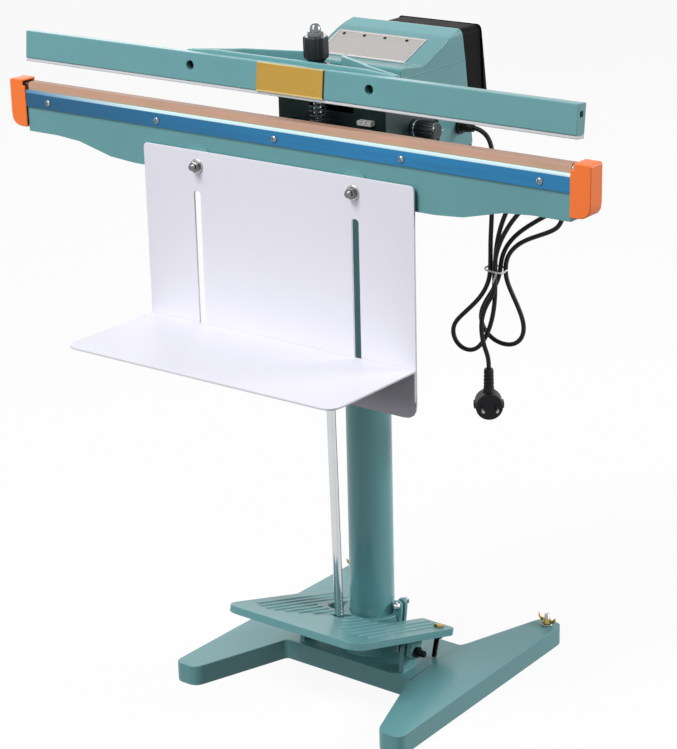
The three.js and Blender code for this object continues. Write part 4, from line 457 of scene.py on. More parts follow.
def moulded_plastic(name, colour, roughness, texture=0.02 * MM, size=1.1 * MM, drift=0.03, shine=0.4):
    """Injection-moulded plastic: even colour with the fine spark-eroded texture of its mould."""
    material, tree, shader = new_finish(name, roughness=roughness, specular_ior_level=shine)
    place, noise, _ = mottle(tree, shader, colour, 30 * MM, 1 - drift, 1 + drift)
    roughen(tree, shader, noise, roughness - 0.04, roughness + 0.06)
    grain(tree, shader, place, size, texture)
    return material


def coated_cloth(colour):
    """Glass cloth coated with fluoropolymer: brown, waxy, its plain weave drawn 1.2 mm wide to show."""
    material, tree, shader = new_finish("coated glass cloth", roughness=0.5)
    place = add(tree, "ShaderNodeTexCoord").outputs["Object"]
    threads = [add(tree, "ShaderNodeTexWave", {"bands_direction": way}, {
        "Vector": place, "Scale": WEAVE_SCALE, "Distortion": 0.4}).outputs["Fac"] for way in ("X", "Y")]
    weave = add(tree, "ShaderNodeMath", {"operation": "MULTIPLY"}, dict(enumerate(threads)))
    patches = cloudy(tree, place, 45 * MM, 4)
    height = add(tree, "ShaderNodeSeparateXYZ", inputs={0: place}).outputs["Z"]
    # Olive where it bends down to its clamp, darker where the jaw has pressed it
    mixed = blended(tree, patches, *shades(colour, 0.84, 1.12))
    worn = blended(tree, spread(tree, height, *CLOTH_LOW, 0.55, 0.0), mixed, linear("#8f9274"))
    used = blended(tree, spread(tree, height, *CLOTH_HIGH, 0.0, 0.35), worn, linear("#7a5f50"))
    tree.links.new(used, shader.inputs["Base Color"])
    raise_by(tree, shader, 0.05 * MM, weave.outputs[0])
    return material


def metal_film(colour):
    """Blue film on a steel strip: deep and cloudy below, darker towards its left end, and with a painted
    highlight, nearly white, along its bent upper edge.
    """
    material, tree, shader = new_finish(
        "blue film on a steel strip", roughness=0.3, metallic=0.1, specular_ior_level=0.3,
        coat_weight=0.15, coat_roughness=0.1)
    place = add(tree, "ShaderNodeTexCoord").outputs["Object"]
    bands = add(tree, "ShaderNodeMapping", inputs={"Vector": place, "Scale": (1, 12, 12)})
    noise = cloudy(tree, bands.outputs[0], 90 * MM, 5)
    apart = add(tree, "ShaderNodeSeparateXYZ", inputs={0: place})
    # The blue is darker towards the left end and cloudy in long bands
    share = add(tree, "ShaderNodeMath", {"operation": "MULTIPLY"}, {
        0: spread(tree, apart.outputs["X"], -0.44, 0.15, 0.52, 1.06),
        1: spread(tree, noise, 0.0, 1.0, 0.8, 1.2)})
    tint = blended(tree, 1.0, colour, share.outputs[0], "MULTIPLY")
    # Painted highlight along the bent upper edge: pale blue at the left end, nearly white at the right
    pale = blended(tree, spread(tree, apart.outputs["X"], -0.43, -0.22), linear("#5289b4"),
                   linear("#d5f2f6"))
    film_with_painted_highlight = blended(tree, spread(tree, apart.outputs["Z"], *FILM_HIGHLIGHT_HEIGHTS), tint, pale)
    tree.links.new(film_with_painted_highlight, shader.inputs["Base Color"])
    return material


# Short name: real material, colour and the numbers of its recipe
PLATED_METALS = {
    "chrome": ("hard chrome on steel rod", "#cfd2d4", 0.12, 0.3, 0.03, 30 * MM),
    "zinc": ("zinc plated steel", "#b4b5b3", 0.32),
    "steel": ("bright steel", "#9a9b9a", 0.3),
    "yellow_zinc": ("yellow passivated zinc", "#b39a5c", 0.34, 0.25, 0.16),
    # Painted shade: dark spring steel, its grey darkened further for the shade under the jaw
    "spring": ("spring steel wire", "#626466", 0.34),
    "black_steel": ("black oxide steel", "#1d1e1f", 0.4),
    "dull_zinc": ("dull zinc on steel", "#77787a", 0.3),
    "nickel": ("nickel plated steel", "#838f96", 0.2, 0.3, 0.05),
    "dome": ("polished steel", "#7f8184", 0.14, 0.3, 0.04),
    "dial": ("dark anodised aluminium", "#54575a", 0.3),
}
DRAWN_METALS = {
    "aluminium": ("extruded aluminium", "#b9bcbf", 0.35, (0.02, 1, 1)),
    "brass_plate": ("gold anodised sheet", "#bb9447", 0.34, (0.03, 1, 1)),
    "panel": ("brushed panel sheet", "#bab7b5", 0.45, (0.03, 1, 1)),
    "laminations": ("varnished core laminations", "#6a5a4c", 0.5, (1, 0.04, 1)),
    "pale_rim": ("polished gold rim", "#d8c184", 0.3, (0.03, 1, 1)),
    # Painted shade: a dark brown for the shaded right end of the name plate
    "plate_end_painted_shade": ("dark lacquered edge", "#4a3a1c", 0.4, (1, 1, 0.03)),
    "wire": ("nickel chromium ribbon", "#a59c93", 0.3, (0.02, 1, 1)),
}
MOULDED_PLASTICS = {
    "silicone": ("pale silicone rubber", "#d3d6da", 0.55, 0.01 * MM),
    "black": ("black moulded plastic", "#0b0b0c", 0.55, 0.05 * MM, 1.3 * MM, 0.03, 0.05),
    "knob": ("black phenolic", "#222427", 0.36, 0.008 * MM, 1.1 * MM, 0.03, 0.3),
    "nylon": ("natural nylon", "#e6e5df", 0.45),
    "switch": ("dark switch plastic", "#1d1f21", 0.4),
    "sheath": ("black vinyl sheath", "#131415", 0.42, 0.02 * MM, 2 * MM, 0.1, 0.25),
    "board": ("epoxy circuit board", "#2f6a43", 0.4),
    "dark_knob": ("dark grey phenolic", "#303334", 0.3, 0.01 * MM, 1.1 * MM, 0.03, 0.3),
    "plug": ("black rubber of the plug", "#17181a", 0.5, 0.03 * MM, 1.1 * MM, 0.03, 0.25),
    "tie": ("white coated wire", "#e9e9e9", 0.4),
}


def make_finishes():
    """All the materials of the machine, by short names."""
    colours = bpy.context.scene.sealer_colours
    enamel = list(colours.enamel)
    made = {
        "enamel": baked_enamel("teal baked enamel", enamel),
        "column": baked_enamel("teal enamel on steel tube", enamel, 0.24),
        "jaw": baked_enamel("teal enamel on aluminium bar", enamel, 0.34, 0.006 * MM),
        "lid": baked_enamel("teal enamel on pressed sheet", enamel, 0.28),
        # The head casting is painted near-black as its shade
        "casting": cast_enamel(list(colours.casting)),
        "shelf": powder_coat(list(colours.shelf)),
        "film": metal_film(list(colours.film)),
        "cloth": coated_cloth(list(colours.cloth)),
        "orange": moulded_plastic("orange moulded plastic", list(colours.end_caps), 0.42),
    }
    for recipe, table in ((plated_metal, PLATED_METALS), (drawn_metal, DRAWN_METALS),
                          (moulded_plastic, MOULDED_PLASTICS)):
        for short, (name, colour, *numbers) in table.items():
            made[short] = recipe(name, linear(colour), *numbers)
    return made


finishes = {}


# The mains cord

CORD_STEP = 4.0
LEAST_BEND = 3
RELAX_REACH = 3
RELAX_ROUNDS = 60
SPINE_STEPS = 40
HANK_PLACE = (143.5, 286.0, 590.0)
HANK_PITCH = 7.4
HANK_END = 22.0
LOOP_STEPS = 9
LOOP_TURNS = 8
PASSES = [(-1, 0), (0, 0), (0.5, 1), (1.5, 1), (0.5, -1)]
LOOPS = [
    # rise from the tie, lean to the right, half width, turn in degrees, depth
    (-118, -56, -22, 0, -3),
    (128, 92, -24, 12, 4),
    (-112, -8, -32, 0, 10),
    (104, 100, 24, -14, -4),
]
ROW_SHIFT = Vector((0, -107, 0))


def pass_place(k):
    """Where one strand passes through the tie."""
    return HANK_PLACE[0] + PASSES[k][0] * HANK_PITCH, HANK_PLACE[1] + PASSES[k][1] * HANK_PITCH


def loop_profile(length, half):
    """One fold of the hank, as (along, across): up one side, round the end and down the other."""
    stem = length - half
    sides = [(stem * k / LOOP_STEPS, half * (3 - 2 * k / LOOP_STEPS) * (k / LOOP_STEPS) ** 2)
             for k in range(1, LOOP_STEPS + 1)]
    turns = [math.pi * k / LOOP_TURNS for k in range(1, LOOP_TURNS)]
    end = [(stem + half * math.sin(turn), half * math.cos(turn)) for turn in turns]
    return sides + end + [(along, -across) for along, across in reversed(sides)]


def hank_route():
    """The middle line of the hank, from a formula: each loop rises or falls from the tie and comes back."""
    z = HANK_PLACE[2]
    route = []
    for k, (rise, lean, half, turn, depth) in enumerate(LOOPS):
        start, stop = Vector((*pass_place(k), z)), Vector((*pass_place(k + 1), z))
        spine = [Vector((lean * u * u, depth * u * u, rise * u))
                 for u in (i / SPINE_STEPS for i in range(SPINE_STEPS + 1))]
        walked = [0.0]
        for before, after in zip(spine, spine[1:]):
            walked.append(walked[-1] + (after - before).length)
        level = Vector((math.cos(math.radians(turn)), math.sin(math.radians(turn)), 0))
        profile = loop_profile(walked[-1], abs(half))
        for i, (along, across) in enumerate(profile):
            j = max(1, next((n for n, way in enumerate(walked) if way >= along), SPINE_STEPS))
            u = (j - 1 + min(1.0, (along - walked[j - 1]) / (walked[j] - walked[j - 1]))) / SPINE_STEPS
            course = Vector((2 * lean * u, 2 * depth * u, rise)).normalized()
            sideways = (level - course * level.dot(course)).normalized()
            # The strand moves over to its next place in the tie along the middle of the loop
            swap = min(1.0, max(0.0, ((i + 1) / (len(profile) + 1) - 0.3) / 0.4))
            swap = swap * swap * (3 - 2 * swap)
            place = Vector((lean * u * u, depth * u * u, rise * u))
            route.append(start.lerp(stop, swap) + place
                         + sideways * math.copysign(across, across * half))
    return route


def cord_route():
    """The cord's middle line from the gland to the plug, in millimetres of the machine's own drawing."""
    first, last = pass_place(0), pass_place(4)
    z = HANK_PLACE[2]
    lead = [
        (110.6, 280, 783), (115, 280, 783), (124.5, 280.5, 781), (132.8, 281.5, 775.2),
        (138.1, 282.7, 766.5), (140, 283.5, 756), (140, 285, 715), (138, 286, 664),
        (*first, z + HANK_END + 12.8), (*first, z + HANK_END), (*first, z + HANK_END - 6.4),
    ]
    tail = [
        (*last, z - HANK_END + 6.4), (*last, z - HANK_END), (*last, 560), (138, 275, 543),
        (130, 273, 518), (132, 273, 488), (139, 277, 462), (139, 277, 449.3),
    ]
    return [Vector(p) for p in lead] + hank_route() + [Vector(p) for p in tail]


def spread_evenly(points, step=CORD_STEP):
    """Points at even steps along a smooth centripetal line through the given points."""
    ends = [2 * points[0] - points[1], *points, 2 * points[-1] - points[-2]]
    line = []
    for a, b, c, d in zip(ends, ends[1:], ends[2:], ends[3:]):
        t0, t1 = 0.0, (b - a).length ** 0.5
        t2 = t1 + (c - b).length ** 0.5
        t3 = t2 + (d - c).length ** 0.5
        parts = max(2, round((c - b).length / (step / 4)))
        for i in range(parts):
            t = t1 + (t2 - t1) * i / parts
            ab = a.lerp(b, (t - t0) / (t1 - t0))
            bc = b.lerp(c, (t - t1) / (t2 - t1))
            cd = c.lerp(d, (t - t2) / (t3 - t2))
            abc = ab.lerp(bc, (t - t0) / (t2 - t0))
            bcd = bc.lerp(cd, (t - t1) / (t3 - t1))
            line.append(abc.lerp(bcd, (t - t1) / (t2 - t1)))
    line.append(points[-1].copy())
    even, walked = [line[0]], 0.0
    for before, after in zip(line, line[1:]):
        walked += (after - before).length
        if walked >= step:
            even.append(after)
            walked = 0.0
    if (even[-1] - line[-1]).length < step / 3:
        even.pop()
    even.append(line[-1])
    return even


def relaxed(points, least):
    """Eases every bend whose radius is below the least that the cord allows."""
    line = [p.copy() for p in points]
    for _ in range(RELAX_ROUNDS):
        moved = [p.copy() for p in line]
        tight = False
        for i in range(RELAX_REACH, len(line) - RELAX_REACH):
            a, b, c = line[i - RELAX_REACH], line[i], line[i + RELAX_REACH]
            sides = (b - a).length, (c - b).length, (c - a).length
            area = (b - a).cross(c - a).length / 2
            if sides[0] * sides[1] * sides[2] < least * 4 * area:
                moved[i] = b.lerp((line[i - 1] + line[i + 1]) / 2, 0.6)
                tight = True
        line = moved
        if not tight:
            break
    for _ in range(5):
        inner = [b.lerp((a + c) / 2, 0.5) for a, b, c in zip(line, line[1:], line[2:])]
        line = [line[0], *inner, line[-1]]
    return line


def wire_through(name, points, radius):
    """A round wire as a curve of one open spline through points in metres."""
    curve = bpy.data.curves.new(name, "CURVE")
    curve.dimensions = "3D"
    spline = curve.splines.new("POLY")
    spline.points.add(len(points) - 1)
    for target, point in zip(spline.points, points):
        target.co = (*point, 1)
    curve.bevel_depth = radius
    curve.bevel_resolution = 4
    curve.use_fill_caps = True
    wire = bpy.data.objects.new(name, curve)
    bpy.context.scene.collection.objects.link(wire)
    return wire


# Sizes, places and outlines of the finished pieces in millimetres; an outline is radius and height

BOOT_PLACE = (91.6, 173, 783)
BOOT_AXIS = (1, 0, -0.06)
BOOT = [(11, 0), (11, 3.2), (10.2, 4), (7.9, 4), (7.6, 6), (6.7, 6.4), (6.7, 7.6), (7.3, 8), (7.2, 9.6),
        (6.3, 10), (6.3, 11.2), (6.8, 11.6), (6.6, 13.2), (5.9, 13.6), (5.9, 14.8), (6.2, 15.2), (5.9, 17),
        (5.3, 17.4), (4.9, 21.6), (4.4, 22)]
PLUG_BODY = [(17.2, -15), (18.4, -14.4), (19, -13), (19, 11.8), (18.3, 14), (16.6, 15), (15.2, 15),
             (14.6, 14.3), (0.2, 14.1)]
PLUG_SLEEVE = [(10.4, 0), (9.6, 15.8), (8.2, 20), (7.2, 24), (7.2, 27), (6.5, 27.5), (6.5, 29), (7.2, 29.5),
               (7.2, 32), (6.4, 32.5), (6.4, 34), (7.1, 34.5), (7.1, 37), (6.3, 37.5), (6.3, 39), (7, 39.5),
               (7, 42), (6.1, 42.5), (6.1, 44), (6.8, 44.5), (6.7, 49.5), (5.6, 51.8), (3.4, 51.8)]
PLUG_PLACE = (139, 170, 397)
PLUG_TURN = 37.7
PLUG_GRIP = (2, 7, 4.5)
PLUG_GRIP_X = 19
PLUG_PIN = [(2.4, 0), (2.4, 17), (1.9, 18.5), (0.9, 19)]
PLUG_PIN_X = 9.5
TIE_MIDDLE = (145.35, 179.0, 590.0)
TIE_HALF = (14.4, 12.6)
TIE_WIRE = 0.75
TIE_STEPS = 48
TIE_SQUARE = 0.62
TIE_RISE = 2.2
TIE_SLANT = 1.4
KNOT_OFFSET = (9, -0.6, -1.5)
TAIL_STEPS = 40
TAIL_TURNS = 2.5
TAIL_TWIST = 0.8
TAIL_STEP = (-0.14, -0.34)

# Node, finish, slot and edge, in shares of the cast edge or of the sheet edge
CAST_PIECES = [
    ("base_frame", "enamel", "teal_enamel", 1), ("yoke_arm", "enamel", "teal_enamel", 1),
    ("pedal_plate", "enamel", "teal_enamel", 0.5), ("lower_jaw_beam", "enamel", "teal_enamel", 0.25),
    ("upper_jaw_bar", "jaw", "painted_aluminium", 0.5), ("column_tube", "column", "teal_enamel", 0),
    ("head_casting", "casting", "dark_enamel", 1), ("housing_lid", "lid", "teal_enamel", 1),
]
JAW_PIECES = [
    ("sealing_bar", "aluminium", "aluminium_bar", 1), ("insulating_strip", "nylon", "ceramic", 0),
    ("heating_wire", "wire", "zinc", 0), ("rear_clamp_strip", "zinc", "zinc", 1),
    ("front_clamp_strip", "film", "blue_strip", 0.5), ("silicone_strip", "silicone", "silicone", 1),
    ("tension_post_left", "zinc", "zinc", 1), ("jaw_screw_left", "black_steel", "zinc", 1),
    ("tension_post_right", "zinc", "zinc", 1), ("jaw_screw_right", "black_steel", "zinc", 1),
    ("ptfe_cloth", "cloth", "ptfe_cloth", 0),
]
HEAD_PIECES = [
    ("shelf_back_plate", "shelf", "white_enamel", 2), ("shelf_tray", "shelf", "white_enamel", 2),
    ("microswitch", "switch", "black_plastic", 1), ("timer_board", "board", "circuit_board", 1),
    ("transformer", "laminations", "coil", 1), ("terminal_block", "nylon", "ceramic", 1),
]
LID_FOOT_Z = 776
LID_FOOT_DROP = 14
CAP_EDGE = 1.45
CAP_SHARE = (1, 0.84, 0.95)
CAP_CENTRE = (437.8, -111, 773)
PLATE_RIM = 1.7
PLATE_PRESS = (0.4, 0.35)
COVER_MIDDLE = (21.5, 208, 851)
COVER_RIM_SHARE = (1.034, 1, 1.04)
COVER_RIM_Y = 226
VENT = ((-20, 234.4), (64, 240), 3.4)
COVER_SCREWS = [(x, 236.2, z) for x in (-36, 79) for z in (806, 897)]
VENT_HEIGHTS = [826 + 10 * i for i in range(6)]
PANEL_SHEET = ((-83, 1.2, 0.3), (61, 58.5, 1.3))
PANEL_BORDER = 2.2
PANEL_PRESS = (0.5, 0.25)
PANEL_EDGE = 0.3
PANEL_PLACE = (0, 88, 878)
PANEL_SLOPE = math.atan2(25.5, 60)
PANEL_RIVETS = [(x, 50, 0) for x in (-70, -36, -2, 34)]
RIVET = [(2.4, 0.9), (2.4, 1.5), (2, 1.9), (1.2, 2.1), (0.1, 2.15)]

KNOB_PLACE = (0, -17.614, 880.893)
KNOB_AXIS = (0, -0.02214, 0.99975)
KNOB_SPIN = 11
KNOB_GRIP = [(6.6, 13.5), (11.3, 13.5), (11.5, 14.2), (13.4, 16.6), (16, 18.6), (16.4, 19.6), (16.4, 44.2),
             (15.4, 45.7), (6.6, 45.7)]
KNOB_WASHER = [(6.6, 45.72), (13.4, 45.72), (13.4, 45.86), (6.6, 45.86)]
# Lobes: how many, how deep the grooves are, the radius they start from, and from where to where
KNOB_LOBES = (8, 2.1, 16.4, 20, 44)
COLLAR_LOBES = (24, 0.8, 10.4, 46, 51)
COLLAR = [(6.6, 45.9), (9.6, 45.9), (10.4, 46.5), (10.4, 50.6), (9.7, 51.3), (6.6, 51.3)]
DOME = [(9, 51.4), (9, 52.4), (7.4, 52.6), (7.2, 55), (6.9, 57.2), (6.2, 59.2), (5, 60.9), (3.4, 62),
        (1.6, 62.5), (0.1, 62.55)]
DOME_BORE = [(6.6, 50), (6.6, 51.5)]

TIME_PLACE = (0, 74, 799)
TIME_SKIRT = [(3.2, 88.5), (13.2, 88.5), (13.4, 89.2), (13.4, 93), (12.6, 94.2), (3.2, 94.2)]
TIME_GRIP = [(3, 74.2), (3, 94.3), (11.9, 94.3), (12.2, 95), (12.2, 120.6), (11.4, 121.9), (10.2, 122.3),
             (9.8, 124), (9, 124.2), (0.2, 124.2)]
TIME_LOBES = (12, 1.7, 12.2, 94.8, 121)
TIME_FACE_X = 121
TIME_MARK = ((8, -0.6, 118), (12.6, 0.6, 124.6), 0.3)
# Grooves: their half width as a share of a lobe, and how far around them points are pressed in
GROOVE_SHARE = 0.02
GROOVE_MARGIN = 3
GROOVE_REACH = 2

WASHER = [(4.2, 0.1), (9.4, 0.1), (9.8, 0.5), (9.8, 1.3), (9.3, 1.7), (4.2, 1.7)]
NUT = [(4.1, 1.8), (6.8, 1.8), (7.5, 2.4), (7.5, 7.4), (6.8, 8), (4.1, 8)]
BOLT_RADIUS = 3.9
BOLT_HEAD_RADIUS = 7.5
BOLT_HEAD_HEIGHT = 5
BOLT_SPINS = (8, 21)
# Node, place, and how far the bolt reaches behind and in front of it
SHELF_BOLTS = [("shelf_bolt_left", (-127, -114.2, 760), -38.3, 13.2),
               ("shelf_bolt_right", (127, -114.2, 760), -38.3, 13.2),
               ("tray_bolt_left", (-129, -117.5, 512), -11.4, 9.4),
               ("tray_bolt_right", (129, -117.5, 512), -11.4, 9.4)]

LEVELLER_X = 174
LEVELLER_Y = 270
LEVELLER_FOOT = [(8.2, 0.4), (9, 1.2), (9, 3.6), (8.2, 4.3), (4, 4.4), (4, 35)]
LEVELLER_SCREW = [*LEVELLER_FOOT, *thread(3.9, 0.5, 35.6, 46, 1.1), (3, 47)]
LEVELLER_WASHER = [(4.1, 30.4), (8.6, 30.4), (9, 30.8), (9, 31.8), (8.6, 32.2), (4.1, 32.2)]
WING_EDGE = 0.9
WING_ROOT = ((4.6, -1.4, 33.4), (10, 1.4, 39))
# How far each part of a wing goes on from the last, and how its end is scaled
WING_STEPS = [((4.6, 0, 4.4), (1, 0.9, 1.15)), ((1.8, 0, 1.6), (1, 0.8, 0.7))]
WING_SPINS = (14, -9)
WING_HUB = [(4.1, 32.4), (6, 32.4), (6.4, 33), (6, 36.4), (5.2, 39.6), (4.9, 40), (4.1, 40)]

CLAMP_PLACE = (41, 90, 98)
CLAMP_BALL = [(2.9, -0.8), (3.2, 3.6), (4.6, 4.6), (5.6, 6.4), (6, 8.6), (6, 10), (5.6, 12), (4.6, 13.8),
              (3.2, 14.9), (1.6, 15.3), (0.2, 15.3)]
CLAMP_ROD = [(2.9, -9.2), (2.9, 2.5)]
CLAMP_NUT = [(2.7, -15.2), (5, -15.2), (5.8, -14.6), (5.8, -10.2), (5, -9.4), (2.7, -9.4)]
PIVOT_PLACE = (0, 40, 60)
PIVOT_BOLT = [(7.8, 78.2), (8.4, 78.8), (8.4, 83.2), (5, 83.4), (5, 103.4),
              *thread(4.8, 0.4, 109, 117.4, 1), (3.8, 118.8)]
PIVOT_NUT = [(5.2, 103.8), (7.8, 103.8), (8.6, 104.6), (8.6, 107.8), (7.8, 108.5), (5.2, 108.5)]
PEDAL_TILT = 16.4
STOP_X = 100
STOP_U = 54
STOP_SHANK = [(3, -13.8), *thread(3.9, 0.5, -13, 13.6, 1.2), (3.9, 29.6), (3, 30)]
STOP_NUT = [(4.1, 14.1), (7, 14.1), (7.4, 14.6), (7.4, 18.6), (7, 19), (4.1, 19)]
STOP_HEAD = [(6.9, 29.8), (7.5, 30.4), (7.5, 33), (6.6, 34.1), (0.2, 34.2)]
STRIP_SCREWS = [-396, -198, 0, 198, 396]
STRIP_SCREW_Y, STRIP_SCREW_Z = -109.8, 811
SCREW_SLOTS = [((-2.9, -0.45, 1.2), (2.9, 0.45, 4)), ((-0.45, -2.9, 1.2), (0.45, 2.9, 4))]
STRIP_SCREW = [(2, -10.6), (2, -0.05), (4.4, 0.05), (4.6, 0.5), (4.3, 1.2), (3.4, 1.9), (2, 2.25),
               (0.1, 2.3)]


class SEALER_OT_cord(bpy.types.Operator):
    """Lays the mains cord along its route, with its boot, plug and twisted tie"""
    bl_idname = "sealer.cord"
    bl_label = "Mains cord"

    def execute(self, context):
        sizes = context.scene.sealer_sizes
        radius = sizes.cord_diameter / 2 / MM
        route = relaxed(spread_evenly(cord_route()), LEAST_BEND * 2 * radius)
        route = [(p + ROW_SHIFT) * MM for p in spread_evenly(route)]
        cord = wire_through("mains_cord", route, sizes.cord_diameter / 2)
        fit(cord, "base", finishes["sheath"], ["cord_lead", "cord_hank", "cord_tail"])
        boot = stand(turned("cord_boot", BOOT, sizes.round_steps), BOOT_PLACE, BOOT_AXIS)
        fit(boot, "base", finishes["sheath"], ["cord_gland"])
        plug, pins = self.plug(sizes.round_steps)
        tie = self.tie()
        return {"FINISHED"}

    def plug(self, steps):
        """The round plug with its ribbed sleeve and grips, turned as it hangs, and its two pins."""
        body = stand(turned("plug_body", PLUG_BODY, steps), (0, 0, 0), (0, -1, 0))
        sleeve = turned("plug_sleeve", PLUG_SLEEVE, steps)
        half_x, half_y, half_z = PLUG_GRIP
        grips = [block("plug_grip", (x - half_x, -half_y, -half_z), (x + half_x, half_y, half_z), 1.2)
                 for x in (-PLUG_GRIP_X, PLUG_GRIP_X)]
        plug = joined("power_plug_finished", body, sleeve, *grips)
        stand(plug, PLUG_PLACE, spin=PLUG_TURN)
        fit(plug, "base", finishes["plug"], ["power_plug"])
        pins = joined("plug_pins", *[
            stand(turned("plug_pin", PLUG_PIN, 20), (x, 15, 0), (0, 1, 0))
            for x in (-PLUG_PIN_X, PLUG_PIN_X)])
        stand(pins, PLUG_PLACE, spin=PLUG_TURN)
        return plug, fit(pins, "base", finishes["steel"])

    def tie(self):
        """Two slanting turns of coated wire round the strands, and their twisted tail."""
        middle, (half_x, half_y) = Vector(TIE_MIDDLE), TIE_HALF
        turns = []
        for i in range(2 * TIE_STEPS + 1):
            angle = WHOLE_TURN * i / TIE_STEPS
            across, deep = (math.copysign(abs(v) ** TIE_SQUARE, v)
                            for v in (math.cos(angle), math.sin(angle)))
            rise = TIE_RISE * (0.5 - i / (2 * TIE_STEPS)) - TIE_SLANT * math.cos(angle)
            turns.append((middle + Vector((half_x * across, half_y * deep, rise))) * MM)
        parts = [wire_through("tie_turns", turns, TIE_WIRE * MM)]
        knot = middle + Vector(KNOT_OFFSET) - Vector((0, half_y, 0))
        for start in (0, math.pi):
            tail = []
            for i in range(TAIL_STEPS + 1):
                angle = start + WHOLE_TURN * TAIL_TURNS * i / TAIL_STEPS
                tail.append((knot + Vector((
                    i * TAIL_STEP[0] + TAIL_TWIST * math.cos(angle),
                    TAIL_TWIST * (math.sin(angle) - 0.5), i * TAIL_STEP[1]))) * MM)
            parts.append(wire_through("tie_tail", tail, TIE_WIRE * MM))
        bpy.ops.object.select_all(action="DESELECT")
        for part in parts:
            part.select_set(True)
        bpy.context.view_layer.objects.active = parts[0]
        bpy.ops.object.convert(target="MESH")
        tie = joined("cord_tie_finished", *parts)
        smooth(tie, 60)
        return fit(tie, "base", finishes["tie"], ["cord_tie"])


class SEALER_OT_castings(bpy.types.Operator):
    """Finishes the enamelled pieces: base, column, pedal, casting, lid, jaws and yoke"""
    bl_idname = "sealer.castings"
    bl_label = "Enamelled pieces"

    def execute(self, context):
        lid = finish_all(CAST_PIECES, context.scene.sealer_sizes.casting_edge)[-1]
        # The lid's foot reaches down over the casting
        pick(lid, "VERT", lambda p: p.z < LID_FOOT_Z)
        bpy.ops.transform.translate(value=(0, 0, -LID_FOOT_DROP * MM))
        bpy.ops.object.mode_set(mode="OBJECT")
        return {"FINISHED"}


class SEALER_OT_jaws(bpy.types.Operator):
    """Finishes what the jaws carry: strips, film, cloth, caps, plates and their screws"""
    bl_idname = "sealer.jaws"
    bl_label = "Jaw strips, cloth and caps"

    def execute(self, context):
        cloth = finish_all(JAW_PIECES, context.scene.sealer_sizes.sheet_edge)[-1]
        self.caps()
        self.name_plate()
        self.strip_screws()
        return {"FINISHED"}

    def caps(self):
        """The end caps: lower and thinner than their boxes, with moulded roundings."""
        for side, sign in (("left", -1), ("right", 1)):
            cap = finished(f"end_cap_{side}", finishes["orange"])
            pick(cap, "VERT", lambda p: True)
            x, y, z = (v * MM for v in CAP_CENTRE)
            bpy.ops.transform.resize(value=CAP_SHARE, center_override=(sign * x, y, z))
            bpy.ops.object.mode_set(mode="OBJECT")
            round_edges(cap, CAP_EDGE * MM, 4, 30)
            smooth(cap, 50)

    def name_plate(self):
        """The bare gold plate with a pale raised rim above and below, and a painted shade on its right end.
        """
        plate = finished("name_plate", finishes["brass_plate"])
        pick(plate, "FACE", lambda centre, normal: normal.y < -0.9)
        bpy.ops.mesh.inset(thickness=PLATE_RIM * MM, depth=0)
        bpy.ops.mesh.inset(thickness=PLATE_PRESS[0] * MM, depth=-PLATE_PRESS[1] * MM)
        bpy.ops.object.mode_set(mode="OBJECT")
        plate.data.materials.append(finishes["pale_rim"])
        plate.data.materials.append(finishes["plate_end_painted_shade"])
        right = max(point.co.x for point in plate.data.vertices)
        heights = [point.co.z for point in plate.data.vertices]
        low, high = min(heights), max(heights)
        rim = PLATE_RIM * MM
        for face in plate.data.polygons:
            # The right end is painted dark as its shade
            if face.center.x > right - rim:
                face.material_index = 2
            elif not low + rim < face.center.z < high - rim:
                face.material_index = 1
        smooth(plate, 30)

    def strip_screws(self):
        """Five pan head screws with cross slots along the blue strip."""
        screw = turned("strip_screw", STRIP_SCREW, 32, degrees=40)
        for slot in SCREW_SLOTS:
            cut_by(screw, block("slot", *slot))
        smooth(screw, 40)
        for i, x in enumerate(STRIP_SCREWS):
            one = stand(twin(screw, f"strip_screw_{i + 1}_finished"), (x, STRIP_SCREW_Y, STRIP_SCREW_Z),
                        (0, -1, 0), 12 + 31 * i)
            fit(one, "base", finishes["nickel"], [f"strip_screw_{i + 1}"])
        bpy.data.objects.remove(screw)


